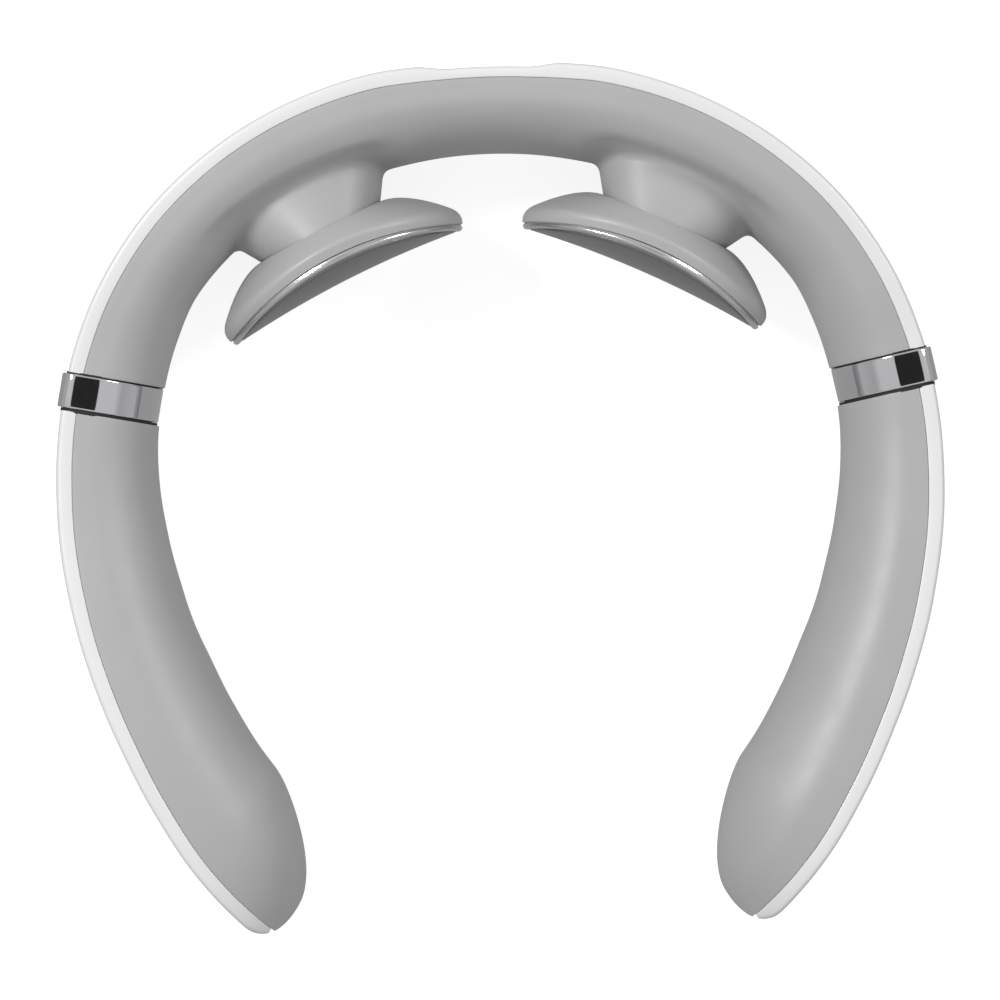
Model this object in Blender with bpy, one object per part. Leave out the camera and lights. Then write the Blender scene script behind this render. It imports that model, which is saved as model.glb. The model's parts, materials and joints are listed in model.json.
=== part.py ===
"""Hinged neck massager: a C-shaped band with two floating contact heads and two sprung arms.

Every piece is modelled in the band's own frame, in millimetres: the origin is the centre of the
C at mid height, +Y points at the nape section and +X at the wearer's right-hand arm. The root
empty then lifts the whole object, so that it rests on z = 0 with its box centred on the origin.
Plan positions are polar: an angle from +Y towards +X, and a radius from the centre of the C.
"""

import math

import bmesh
import bpy
from mathutils import Matrix, Vector

MM = 0.001
GAP = 0.3  # between pieces that touch in the real object

# Plan outline of the band: (angle from the nape in degrees, radius in mm)
OUTER_STATIONS = (
    (0, 74.15), (5, 74.25), (10, 74.65), (15, 75.3), (20, 75.7), (30, 76.45), (40, 77.0),
    (50, 77.3), (60, 77.1), (70, 76.5), (80, 75.7), (90, 75.1), (100, 74.95), (110, 75.4),
    (120, 76.6), (130, 78.9), (140, 82.1), (148, 84.5), (154, 86.2),
)
INNER_STATIONS = (
    (0, 58.7), (10, 58.85), (20, 59.3), (32, 60.4), (45, 61.7), (54, 62.0), (62, 61.1),
    (70, 60.0), (78, 59.0), (86, 57.8), (95, 56.6), (105, 55.95), (115, 55.95), (125, 56.85),
    (135, 58.6), (145, 60.6), (154, 62.0),
)
# Half of the band's height, the same way
HEIGHT_STATIONS = (
    (0, 19.5), (12, 19.5), (25, 19.3), (45, 18.4), (60, 17.0), (72, 15.8), (80, 15.8),
    (90, 16.4), (105, 18.0), (120, 19.2), (130, 19.5), (154, 19.5),
)
HALF_HEIGHT = 19.5

COVER = 2.5  # thickness of the white outer cover, seen on the band's edge
RECESS = 0.95  # depth of the shallow groove down the middle of the back cover
RECESS_FLOOR, RECESS_EDGE = 5.0, 10.0  # its half widths, in degrees
CROWN = 0.35  # bulge of the cover's outer face over its height
SHELL_WALL = 1.5

# The arm's tip: where its rounding starts and ends, and the radius where the sides meet
TIP_END = 151.8
TIP_RADIUS = 76.0
TIP_OUTER_START, TIP_INNER_START, TIP_HEIGHT_START = 147.3, 138.0, 131.0
TIP_INNER_POWER, TIP_HEIGHT_POWER = 1.8, 2.4
ARM_LAST, COVER_LAST = 151.4, 150.1  # the last sections of the arm's shell and of its cover

# The two section lines that bound the ring: (angle on the outer face, angle on the inner)
NAPE_END = (71.8, 69.9)
ARM_START = (76.7, 76.1)

# Section of the grey shell: a half oval with a flat land beside the cover
OVAL_TURNS = (0, 15, 37, 62, 90, 118, 143, 165, 180)
ACROSS_POWER, UP_POWER, LAND = 0.92, 0.85, 1.03

# Ring and hinge at each end of the nape section
RING_FROM, RING_TO = -2.95, 2.75  # its two faces, from the nape's side to the arm's
RING_PROUD, RING_TOP_PROUD, RING_WALL = 0.5, 0.35, 0.9
RING_CORNER = 2.4
PIVOT_OUT = 5.6  # from the ring's middle towards its outer face
PIN_RADIUS, PIN_BORE, BARREL_RADIUS = 1.0, 1.1, 1.9
KNUCKLE = (7.0, 11.5)  # height of the nape's two knuckles above and below the middle
LUG = (-6.4, 2.6)  # height of the arm's knuckle
PLATE = (7.2, 9.2)  # depth of the inner frames, from the band's outer face

# Heads: where the contact pad's rim chord is, and which way it faces
HEAD_TURN = 25.35  # degrees between the head's axis and +Y
HEAD_OUT, HEAD_ASIDE = 44.6, 6.5
PAD = (22.8, 18.2)  # half width and half height of a pad
PAD_TOP = 9.7  # height over the rim chord where the pad's back meets its sleeve
PAD_BAND = 2.8  # height of the side wall between the rim and the pad's back
FACE_LOW, FACE_SIDE_DROP, FACE_RISE = 0.5, 1.5, 3.25
SWIVEL = 17.7  # from the rim chord back to the gimbal
STEM_AT = 9.35  # where the stem's sleeve meets the pad
SLEEVE = (11.1, 14.4)  # the sleeve's half width and half height there
SLEEVE_TAPER = (0.64, -0.26)  # growth of each per mm towards the band
SLEEVE_TIP, SLEEVE_ROOT, SLEEVE_WALL = 9.2, 19.0, 1.7
OPENING_GAP = 0.5

# Controls in the right arm
BOARD_ANGLE, BOARD_DEPTH, BOARD_SIZE = 97.5, 5.6, (1.2, 26.0, 25.0)
# Name, degrees along the band from the board's middle, and radius
BUTTONS = (("plus", -6.2, 2.6), ("power", 0.0, 3.2), ("minus", 6.2, 2.6))
BUTTON_GAP, BUTTON_REACH = 0.3, 3.1
SWITCH_HEIGHT = 1.2
LED_ANGLE, LED_RADIUS = 108.3, 1.0
BATTERY_ANGLE, BATTERY_SIZE, BATTERY_DEPTH = 130.5, (8.0, 25.0, 22.0), 4.6

COLOURS = {  # base colour, roughness, metallic
    "cover_white": ((0.86, 0.86, 0.86), 0.3, 0.0),
    "shell_grey": ((0.42, 0.42, 0.43), 0.55, 0.0),
    "chrome": ((0.8, 0.8, 0.82), 0.08, 1.0),
    "steel": ((0.55, 0.55, 0.57), 0.3, 1.0),
    "frame_plastic": ((0.12, 0.12, 0.13), 0.6, 0.0),
    "board_green": ((0.05, 0.25, 0.12), 0.5, 0.0),
    "battery_foil": ((0.5, 0.52, 0.55), 0.4, 0.6),
    "film_amber": ((0.6, 0.32, 0.06), 0.4, 0.0),
    "lens_clear": ((0.85, 0.9, 0.9), 0.1, 0.0),
}


# ---------------------------------------------------------------- outline of the band


def through(stations):
    """A smooth curve through the stations, level wherever they turn back."""
    xs = [x for x, _ in stations]
    ys = [y for _, y in stations]
    rises = [(ys[i + 1] - ys[i]) / (xs[i + 1] - xs[i]) for i in range(len(xs) - 1)]
    slopes = [0.0]
    for before, after in zip(rises, rises[1:]):
        slopes.append(2 * before * after / (before + after) if before * after > 0 else 0.0)
    slopes.append(rises[-1])

    def value(x):
        i = max(k for k in range(len(xs) - 1) if xs[k] <= max(x, xs[0]))
        span = xs[i + 1] - xs[i]
        t = (x - xs[i]) / span
        return (
            ys[i] * (1 + 2 * t) * (1 - t) ** 2
            + ys[i + 1] * t * t * (3 - 2 * t)
            + span * (slopes[i] * t * (1 - t) ** 2 + slopes[i + 1] * t * t * (t - 1))
        )

    return value


outer_base = through(OUTER_STATIONS)
inner_base = through(INNER_STATIONS)
height_base = through(HEIGHT_STATIONS)


def share(angle, start, end):
    """How far the angle is from start to end, from 0 to 1."""
    return min(1.0, max(0.0, (angle - start) / (end - start)))


def recess(angle):
    t = share(angle, RECESS_EDGE, RECESS_FLOOR)
    return RECESS * t * t * (3 - 2 * t)


def outer_radius(angle):
    angle = abs(angle)
    base = outer_base(angle)
    turn = 1 - math.sqrt(1 - share(angle, TIP_OUTER_START, TIP_END) ** 2)
    return base - recess(angle) - (base - TIP_RADIUS) * turn


def inner_radius(angle):
    angle = abs(angle)
    base = inner_base(angle)
    power = TIP_INNER_POWER
    turn = 1 - (1 - share(angle, TIP_INNER_START, TIP_END) ** power) ** (1 / power)
    return base + (TIP_RADIUS - base) * turn


def half_height(angle):
    angle = abs(angle)
    power = TIP_HEIGHT_POWER
    closing = (1 - share(angle, TIP_HEIGHT_START, TIP_END) ** power) ** (1 / power)
    return height_base(angle) * closing


def plan_point(angle, radius):
    turn = math.radians(angle)
    return Vector((math.sin(turn) * radius, math.cos(turn) * radius, 0))


def oval_share(turn):
    """The half oval's shares of its depth and of its half height, 0 to 180 degrees round it."""
    across = abs(math.sin(math.radians(turn))) ** ACROSS_POWER
    level = math.cos(math.radians(turn))
    return across, math.copysign(min(1.0, LAND * abs(level) ** UP_POWER), level)


class Station:
    """One cross-section of the band, between an outer and an inner plan point."""

    def __init__(self, outer_angle, inner_angle):
        self.outer = plan_point(outer_angle, outer_radius(outer_angle))
        self.inner = plan_point(inner_angle, inner_radius(inner_angle))
        self.depth = (self.inner - self.outer).length
        self.height = half_height(outer_angle)
        shortfall = outer_base(abs(outer_angle)) - outer_radius(outer_angle)
        self.cover = max(0.0, COVER - shortfall)

    def at(self, depth, height):
        return self.outer.lerp(self.inner, depth / self.depth) + Vector((0, 0, height))

    def oval(self, skin=0.0, start=None):
        """The shell's half oval from top to bottom, skin mm inside its surface."""
        start = self.cover if start is None else start
        points = []
        for turn in OVAL_TURNS:
            across, up = oval_share(turn)
            rise = up * (self.height - skin)
            points.append(self.at(start + (self.depth - start - skin) * across, rise))
        return points


def stations(first, last, count):
    """Evenly spread cross-sections between two pairs of angles."""
    found = []
    for i in range(count + 1):
        t = i / count
        angles = [a + (b - a) * t for a, b in zip(first, last)]
        found.append(Station(*angles))
    return found


# ---------------------------------------------------------------- objects and shapes


def clear_scene():
    for obj in list(bpy.data.objects):
        bpy.data.objects.remove(obj, do_unlink=True)


def new_collection(name):
    made = bpy.data.collections.new(name)
    bpy.context.scene.collection.children.link(made)
    return made


def new_material(name):
    colour, roughness, metallic = COLOURS[name]
    material = bpy.data.materials.new(name)
    material.use_nodes = True
    shader = material.node_tree.nodes["Principled BSDF"]
    shader.inputs["Base Color"].default_value = (*colour, 1)
    shader.inputs["Roughness"].default_value = roughness
    shader.inputs["Metallic"].default_value = metallic
    material.diffuse_color = (*colour, 1)
    return material


clear_scene()
PARTS = new_collection("neck_massager")
TOOLS = new_collection("cutters")
MATERIALS = {name: new_material(name) for name in COLOURS}


def add_object(name, bm, frame=None):
    """A new object from a bmesh in mm. frame places it in the band's frame."""
    if frame is not None:
        bm.transform(frame)
    bm.transform(Matrix.Scale(MM, 4))
    bm.normal_update()
    bmesh.ops.recalc_face_normals(bm, faces=bm.faces)
    mesh = bpy.data.meshes.new(name)
    bm.to_mesh(mesh)
    bm.free()
    obj = bpy.data.objects.new(name, mesh)
    PARTS.objects.link(obj)
    return obj


def loft(name, loops, closed=False, frame=None):
    """Skins a row of loops with equal counts. An open row gets a cap at each end."""
    bm = bmesh.new()
    rings = [[bm.verts.new(point) for point in loop] for loop in loops]
    pairs = list(zip(rings, rings[1:]))
    if closed:
        pairs.append((rings[-1], rings[0]))
    for ring, after in pairs:
        for i in range(len(ring)):
            j = (i + 1) % len(ring)
            bm.faces.new((ring[i], ring[j], after[j], after[i]))
    if not closed:
        bm.faces.new(rings[0])
        bm.faces.new(rings[-1])
    return add_object(name, bm, frame)


def box(name, low, high, frame=None):
    bm = bmesh.new()
    bmesh.ops.create_cube(bm, size=1)
    low, high = Vector(low), Vector(high)
    bmesh.ops.transform(
        bm,
        verts=bm.verts,
        matrix=Matrix.Translation((low + high) / 2) @ Matrix.Diagonal((*(high - low), 1)),
    )
    return add_object(name, bm, frame)


def rod(name, start, end, radius, frame=None, sides=16):
    """A round bar between two points."""
    start, end = Vector(start), Vector(end)
    bm = bmesh.new()
    bmesh.ops.create_cone(
        bm,
        cap_ends=True,
        segments=sides,
        radius1=radius,
        radius2=radius,
        depth=(end - start).length,
    )
    half_side = Matrix.Rotation(math.pi / sides, 4, "Z")
    turn = (end - start).to_track_quat("Z", "Y").to_matrix().to_4x4() @ half_side
    bmesh.ops.transform(bm, verts=bm.verts, matrix=Matrix.Translation((start + end) / 2) @ turn)
    return add_object(name, bm, frame)


def as_tool(obj):
    PARTS.objects.unlink(obj)
    TOOLS.objects.link(obj)
    obj.hide_render = True
    obj.display_type = "WIRE"


def combine(obj, operation, tools):
    for tool in tools:
        as_tool(tool)
        modifier = obj.modifiers.new(tool.name, "BOOLEAN")
        modifier.operation = operation
        modifier.solver = "EXACT"
        modifier.object = tool
    return obj


def join(obj, *tools):
    return combine(obj, "UNION", tools)


def cut(obj, *tools):
    return combine(obj, "DIFFERENCE", tools)


def finish(obj, material):
    """Applies the modifiers, shades the round faces smooth and gives the material."""
    graph = bpy.context.evaluated_depsgraph_get()
    mesh = bpy.data.meshes.new_from_object(obj.evaluated_get(graph))
    obj.modifiers.clear()
    obj.data = mesh
    mesh.name = obj.name
    mesh.shade_smooth()
    mesh.set_sharp_from_angle(angle=math.radians(35))
    mesh.materials.clear()
    mesh.materials.append(MATERIALS[material])
    return obj


def mirror_data(mesh):
    """A mesh reflected in the band's middle plane, with its faces still facing out."""
    copy = mesh.copy()
    copy.transform(Matrix.Scale(-1, 4, (1, 0, 0)))
    copy.flip_normals()
    return copy


def twin(obj):
    """The left-hand copy of a finished right-hand piece."""
    copy = bpy.data.objects.new(obj.name.replace("right", "left"), mirror_data(obj.data))
    PARTS.objects.link(copy)
    return copy


AXES = {}


def add_axis(name, at=Vector(), parent=None):
    """An empty on a joint's axis. Its place is kept in the band's frame."""
    empty = bpy.data.objects.new(name, None)
    empty.empty_display_size = 4 * MM
    PARTS.objects.link(empty)
    AXES[name] = at.copy()
    if parent is not None:
        empty.parent = bpy.data.objects[parent]
        empty.location = (at - AXES[parent]) * MM
    return empty


def hang(axis, *objects):
    for obj in objects:
        obj.parent = bpy.data.objects[axis]
        obj.location = -AXES[axis] * MM


def mirrored(point):
    return Vector((-point.x, point.y, point.z))


# ---------------------------------------------------------------- frames of reference


def band_frame(angle):
    """On the outer face at an angle: x goes in, y along the band towards the tip."""
    step = 1.0
    after = plan_point(angle + step, outer_base(abs(angle + step)))
    before = plan_point(angle - step, outer_base(abs(angle - step)))
    along = (after - before).normalized()
    inward = Vector((0, 0, 1)).cross(along) * -1
    matrix = Matrix((inward, along, Vector((0, 0, 1)))).transposed().to_4x4()
    matrix.translation = plan_point(angle, outer_base(abs(angle)))
    return matrix


def ring_frame():
    """In the middle of the right ring: x goes in, y along the band towards the arm."""
    nape, arm = Station(*NAPE_END), Station(*ARM_START)
    inward = ((nape.inner - nape.outer) + (arm.inner - arm.outer)).normalized()
    along = Vector((0, 0, 1)).cross(inward)
    matrix = Matrix((inward, along, Vector((0, 0, 1)))).transposed().to_4x4()
    matrix.translation = (nape.outer + nape.inner + arm.outer + arm.inner) / 4
    return matrix


def head_frame():
    """On the right pad's rim chord: x along the band, y back to the band, z up."""
    turn = math.radians(HEAD_TURN)
    back = Vector((math.sin(turn), math.cos(turn), 0))
    aside = Vector((math.cos(turn), -math.sin(turn), 0))
    matrix = Matrix((aside, back, Vector((0, 0, 1)))).transposed().to_4x4()
    matrix.translation = back * HEAD_OUT + aside * HEAD_ASIDE
    return matrix


RING = ring_frame()
HEAD = head_frame()
PIVOT = RING @ Vector((-PIVOT_OUT, 0, 0))
GIMBAL = HEAD @ Vector((0, SWIVEL, 0))


# ---------------------------------------------------------------- shells and covers


def cover_loop(station):
    """Section of a white cover: a slab with a slightly crowned outer face."""
    height, back = station.height, station.cover - GAP
    edge = min(0.6, back / 2)
    loop = [(back, height), (edge + CROWN, height), (CROWN, height - edge)]
    loop += [(0.0, 0.0), (CROWN, edge - height), (edge + CROWN, -height), (back, -height)]
    return [station.at(*point) for point in loop]


def cavity_loop(station):
    """What a shell is hollowed out by: it runs past the shell's open side."""
    points = station.oval(SHELL_WALL)
    first = station.at(station.cover - 1, station.height - SHELL_WALL)
    last = station.at(station.cover - 1, SHELL_WALL - station.height)
    return [first, *points, last]


def sleeve(name, tip, root, inside):
    """A head's tapered sleeve as a solid elliptical cone along the head's axis."""
    sides = 24
    loops = []
    for back in (tip, root):
        grown = [taper * (back - STEM_AT) - inside for taper in SLEEVE_TAPER]
        width, height = SLEEVE[0] + grown[0], SLEEVE[1] + grown[1]
        turns = [math.tau * i / sides for i in range(sides)]
        loops.append([(width * math.cos(t), back, height * math.sin(t)) for t in turns])
    return loft(name, loops, frame=HEAD)


def tool_twin(obj):
    """The mirrored copy of a cutter."""
    copy = obj.copy()
    copy.data = mirror_data(obj.data)
    copy.name = obj.name + "_left"
    PARTS.objects.link(copy)
    return copy


def boss(name, angle, height, depth):
    """A screw boss on the inside of a cover."""
    return rod(name, (COVER - 0.8, 0, height), (depth, 0, height), 2.3, band_frame(angle), 10)


def screw_hole(name, angle, height):
    return rod(name, (1.2, 0, height), (9.5, 0, height), 1.0, band_frame(angle), 8)


def screw(name, angle, height):
    """A pan-head screw through an inner frame into a cover's boss."""
    frame = band_frame(angle)
    top = PLATE[1] + 1.6
    shank = rod(name, (2.0, 0, height), (top - 0.8, 0, height), 0.8, frame, 8)
    head = rod(name + "_head", (top - 1.2, 0, height), (top, 0, height), 1.7, frame, 8)
    return finish(join(shank, head), "steel")


NAPE_SCREWS = ((-14, 7), (14, 7), (-50, 0), (50, 0))
ARM_SCREWS = ((85, 4), (115, -6))


def build_nape_shells():
    whole = stations([-a for a in NAPE_END], NAPE_END, 27)
    back_cover = loft("back_cover", [cover_loop(s) for s in whole])
    bosses = [boss(f"nape_boss_{a}", abs(a), z, PLATE[0] - GAP) for a, z in NAPE_SCREWS if a > 0]
    bosses += [tool_twin(b) for b in bosses]
    holes = [screw_hole(f"nape_hole_{a}", a, z) for a, z in NAPE_SCREWS if a > 0]
    holes += [tool_twin(h) for h in holes]
    finish(cut(join(back_cover, *bosses), *holes), "cover_white")

    neck_shell = loft("neck_shell", [s.oval() for s in whole])
    skins = [sleeve("sleeve_skin", SLEEVE_TIP, SLEEVE_ROOT, 0.0)]
    skins.append(tool_twin(skins[0]))
    beyond = [a + 3 for a in NAPE_END]
    hollow = stations([-a for a in beyond], beyond, 24)
    cavity = loft("nape_cavity", [cavity_loop(s) for s in hollow])
    bores = [sleeve("sleeve_bore", SLEEVE_TIP - 2, SLEEVE_ROOT + 1, SLEEVE_WALL)]
    bores.append(tool_twin(bores[0]))
    finish(cut(join(neck_shell, *skins), cavity, *bores), "shell_grey")
    return [back_cover, neck_shell]


def build_arm_shells():
    """The right arm's cover and shell, both still to be cut for the controls."""
    cover_stations = stations(ARM_START, (COVER_LAST, COVER_LAST), 22)
    cover = loft("right_arm_cover", [cover_loop(s) for s in cover_stations])
    bosses = [boss(f"arm_boss_{a}", a, z, PLATE[0] - GAP) for a, z in ARM_SCREWS]
    holes = [screw_hole(f"arm_hole_{a}", a, z) for a, z in ARM_SCREWS]
    cut(join(cover, *bosses), *holes)

    shell = loft("right_arm_shell", [s.oval() for s in stations(ARM_START, (ARM_LAST,) * 2, 26)])
    before = [a - 3 for a in ARM_START]
    hollow = stations(before, (TIP_INNER_START + 6,) * 2, 14)
    cut(shell, loft("arm_cavity", [cavity_loop(s) for s in hollow]))
    return finish(cover, "cover_white"), finish(shell, "shell_grey")


# ---------------------------------------------------------------- inner frames and hinges


def strip(name, first, last, count, half, depth=PLATE):
    """A curved plate that follows the band at a fixed depth."""
    loops = []
    for station in stations(first, last, count):
        corners = ((depth[0], half), (depth[1], half), (depth[1], -half), (depth[0], -half))
        loops.append([station.at(*corner) for corner in corners])
    return loft(name, loops)


def knuckle(name, low, high, reach):
    """A hinge knuckle: a barrel round the pin and the block that carries it."""
    barrel = rod(name, (-PIVOT_OUT, 0, low), (-PIVOT_OUT, 0, high), BARREL_RADIUS, RING)
    block = box(name + "_block", (0.8 - PIVOT_OUT, reach[0], low), (0.2, reach[1], high), RING)
    return barrel, block


def ears():
    """The chassis's two ears that hold a head's gimbal."""
    found = []
    for side in (1, -1):
        low, high = sorted((4.8 * side, 6.6 * side))
        found.append(box(f"gimbal_ear_{side}", (-2, SWIVEL - 1.9, low), (2, SWIVEL + 7.2, high), HEAD))
    return found


def build_chassis():
    chassis = strip("nape_chassis", [-a + 2.4 for a in NAPE_END], [a - 2.4 for a in NAPE_END], 16, 12.0)
    additions, holes = [], []
    for side in (1, -1):
        low, high = sorted((KNUCKLE[0] * side, KNUCKLE[1] * side))
        additions += knuckle(f"nape_knuckle_{side}", low, high, (-7.5, 1.2))
    additions += ears()
    holes.append(rod("pin_bore", (-PIVOT_OUT, 0, -13), (-PIVOT_OUT, 0, 13), PIN_BORE, RING))
    holes.append(rod("trunnion_bore", (0, SWIVEL, -7.5), (0, SWIVEL, 7.5), PIN_BORE, HEAD))
    holes += [screw_hole(f"chassis_hole_{a}", a, z) for a, z in NAPE_SCREWS if a > 0]
    additions += [tool_twin(tool) for tool in additions]
    holes += [tool_twin(tool) for tool in holes]
    return finish(cut(join(chassis, *additions), *holes), "frame_plastic")


def build_arm_frame():
    frame = strip("right_arm_frame", ARM_START, (119.5, 119.5), 12, 9.0)
    clearance = box("frame_clearance", (-6, -6, -12), (4, 5.2, 12), RING)
    window = box("frame_window", (4, -11.6, -6.2), (12, 11.6, 6.2), band_frame(BOARD_ANGLE))
    lug = knuckle("arm_knuckle", *LUG, (-1.0, 6.6))
    bore = rod("arm_pin_bore", (-PIVOT_OUT, 0, -8), (-PIVOT_OUT, 0, 8), PIN_BORE, RING)
    holes = [screw_hole(f"frame_hole_{a}", a, z) for a, z in ARM_SCREWS]
    cut(frame, clearance, window)
    join(frame, *lug)
    return finish(cut(frame, bore, *holes), "frame_plastic")


def ring_loop(across, inside):
    """The ring's section in its own frame, inside mm in from its surface."""
    half_depth = Station(*ARM_START).depth / 2
    top = half_height(ARM_START[0]) + RING_TOP_PROUD - inside
    outer = -half_depth - RING_PROUD + inside
    inner = half_depth - GAP - inside
    points = []
    for turn in OVAL_TURNS[1:-1]:
        reach, up = oval_share(turn)
        x = outer + RING_CORNER + (inner - outer - RING_CORNER) * reach
        points.append((x, across, up * top))
    lower = []
    for turn in (90, 60, 30, 0):
        x = outer + RING_CORNER * (1 - math.cos(math.radians(turn)))
        z = -top + RING_CORNER * (1 - math.sin(math.radians(turn)))
        lower.append((x, across, z))
    upper = [(x, y, -z) for x, y, z in reversed(lower)]
    return points + lower + upper


def build_ring():
    loops = [
        ring_loop(RING_FROM, 0.0),
        ring_loop(RING_TO, 0.0),
        ring_loop(RING_TO, RING_WALL),
        ring_loop(RING_FROM, RING_WALL),
    ]
    return finish(loft("right_hinge_ring", loops, closed=True, frame=RING), "chrome")


def build_hinge_pin():
    ends = [(-PIVOT_OUT, 0, z) for z in (-11.8, 11.8)]
    return finish(rod("right_hinge_pin", *ends, PIN_RADIUS, RING), "steel")


def build_hinge_spring():
    """A torsion spring round the pin, above the arm's knuckle, with a leg each way."""
    coil, wire, low, high, turns, steps, leg = 1.6, 0.28, 3.2, 6.3, 4, 6, 4.0
    count = turns * steps
    points = [Vector((coil, -leg, low))]
    for i in range(count + 1):
        turn = math.tau * i / steps
        points.append(
            Vector((coil * math.cos(turn), coil * math.sin(turn), low + (high - low) * i / count))
        )
    points.append(Vector((coil, leg, high)))
    curve = bpy.data.curves.new("right_hinge_spring", "CURVE")
    curve.dimensions = "3D"
    curve.bevel_depth = wire * MM
    curve.bevel_resolution = 1
    curve.use_fill_caps = True
    line = curve.splines.new("POLY")
    line.points.add(len(points) - 1)
    pivot = RING @ Matrix.Translation((-PIVOT_OUT, 0, 0))
    for spot, point in zip(line.points, points):
        spot.co = (*(pivot @ point * MM), 1)
    obj = bpy.data.objects.new("right_hinge_spring", curve)
    PARTS.objects.link(obj)
    graph = bpy.context.evaluated_depsgraph_get()
    mesh = bpy.data.meshes.new_from_object(obj.evaluated_get(graph))
    bpy.data.objects.remove(obj)
    bm = bmesh.new()
    bm.from_mesh(mesh)
    bmesh.ops.remove_doubles(bm, verts=bm.verts, dist=1e-6)
    bm.transform(Matrix.Scale(1 / MM, 4))
    return finish(add_object("right_hinge_spring", bm), "steel")


# ---------------------------------------------------------------- heads


def rim_back(turn):
    """How far behind the rim chord the pad's edge lies, at an angle round the pad."""
    return FACE_LOW - FACE_SIDE_DROP * math.cos(turn) ** 2 + FACE_RISE * math.sin(turn) ** 2


def face_back(share_out, turn):
    """The contact face: hollow along the band and crowned over its height."""
    wide, high = share_out * math.cos(turn), share_out * math.sin(turn)
    return FACE_LOW - FACE_SIDE_DROP * wide**2 + FACE_RISE * high**2


def pad_point(share_out, turn, back):
    return (PAD[0] * share_out * math.cos(turn), back, PAD[1] * share_out * math.sin(turn))


def opening_share(turn):
    """How far out the pad's back opening is, as a share of the pad's outline."""
    half = [s + OPENING_GAP for s in SLEEVE]
    return 1 / math.hypot(PAD[0] * math.cos(turn) / half[0], PAD[1] * math.sin(turn) / half[1])


def back_height(share_out, turn, inside=0.0):
    """The pad's back, rising from its edge at share 1 to its top at the opening."""
    edge = rim_back(turn) + PAD_BAND
    run = (1 - share_out) / (1 - opening_share(turn))
    power = 1.08 + 0.57 * math.cos(turn) ** 2
    return edge + (PAD_TOP - inside - edge) * (1 - max(0.0, 1 - run) ** power)


def head_shell_loop(turn):
    """Section of a pad's housing from its rim up to the opening, and back inside it."""
    wall, rows = 1.3, 4
    shrink = 1 - wall / PAD[0]
    foot = rim_back(turn) + 1.1
    loop = [pad_point(0.985, turn, foot)]
    opening = opening_share(turn)
    for edge, inside, order in ((1.0, 0.0, 1), (shrink, wall, -1)):
        for row in range(rows + 1)[::order]:
            out = 1 - (1 - opening) * row / rows
            across = edge + (1 - edge) * row / rows
            loop.append(pad_point(out * across, turn, back_height(out, turn, inside)))
    loop.append(pad_point(shrink - 0.015, turn, foot))
    return loop


def disc(name, reach, front, thickness, rows, sides):
    """A dished oval plate that follows the contact face, front mm behind it."""
    loops = []
    shares = [reach * (i + 0.6) / (rows + 0.6) for i in range(rows + 1)]
    for back, order in ((front, 1), (front + thickness, -1)):
        for out in shares[::order]:
            turns = [math.tau * i / sides for i in range(sides)]
            loops.append([pad_point(out, t, face_back(out, t) + back) for t in turns])
    return loft(name, loops, frame=HEAD)


def build_trim():
    """The bright bead round the contact plate."""
    sides, corners = 28, 4
    loops = []
    for i in range(sides):
        turn = math.tau * i / sides
        out = Vector((math.cos(turn) * PAD[1], 0, math.sin(turn) * PAD[0])).normalized()
        centre = Vector(pad_point(1.0, turn, rim_back(turn) + 0.4)) - out * 0.75
        loops.append(
            [
                centre
                + out * 0.6 * math.cos(math.tau * k / corners)
                + Vector((0, 0.6, 0)) * math.sin(math.tau * k / corners)
                for k in range(corners)
            ]
        )
    return finish(loft("right_contact_trim", loops, closed=True, frame=HEAD), "chrome")


def build_head():
    shell_sides = 32
    loops = [head_shell_loop(math.tau * i / shell_sides) for i in range(shell_sides)]
    shell = finish(loft("right_head_shell", loops, closed=True, frame=HEAD), "shell_grey")
    plate = finish(disc("right_contact_plate", 0.925, 0.0, 0.8, 3, 28), "steel")
    film = finish(disc("right_heater_film", 0.66, 1.15, 0.35, 1, 20), "film_amber")
    carrier = rod("right_head_carrier", (0, 5.4, 0), (0, 6.8, 0), 12.0, HEAD, 32)
    seat = rod("carrier_seat", (0, 5.0, 0), (0, 8.0, 0), 3.4, HEAD)
    cut(carrier, seat)
    return [shell, plate, film, build_trim(), finish(carrier, "frame_plastic")]


def build_stem():
    """The head's stem: a foot in the carrier, a flange, a shaft and a fork for the gimbal."""
    stem = rod("right_head_stem", (0, 4.6, 0), (0, 7.6, 0), 3.1, HEAD)
    flange = rod("stem_flange", (0, 7.1, 0), (0, 8.3, 0), 7.4, HEAD, 24)
    shaft = rod("stem_shaft", (0, 8.0, 0), (0, 13.8, 0), 5.1, HEAD, 24)
    prongs = []
    for side, (near, far) in enumerate(((2.7, 4.3), (-4.3, -2.7))):
        prongs.append(box(f"stem_prong_{side}", (near, 13.0, -2.0), (far, 19.6, 2.0), HEAD))
    bore = rod("stem_bore", (-6, SWIVEL, 0), (6, SWIVEL, 0), PIN_BORE, HEAD)
    return finish(cut(join(stem, flange, shaft, *prongs), bore), "frame_plastic")


def build_gimbal_cross():
    block = box("right_gimbal_cross", (-1.7, SWIVEL - 1.7, -1.7), (1.7, SWIVEL + 1.7, 1.7), HEAD)
    upright = rod("cross_upright", (0, SWIVEL, -6.4), (0, SWIVEL, 6.4), PIN_RADIUS, HEAD)
    level = rod("cross_level", (-4.2, SWIVEL, 0), (4.2, SWIVEL, 0), PIN_RADIUS, HEAD)
    return finish(join(block, upright, level), "steel")


# ---------------------------------------------------------------- electrics


def band_box(name, angle, size, depth, material):
    """A block at mid height inside the band, depth mm in from the outer face."""
    low = (depth, -size[1] / 2, -size[2] / 2)
    high = (depth + size[0], size[1] / 2, size[2] / 2)
    return finish(box(name, low, high, band_frame(angle)), material)


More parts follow.
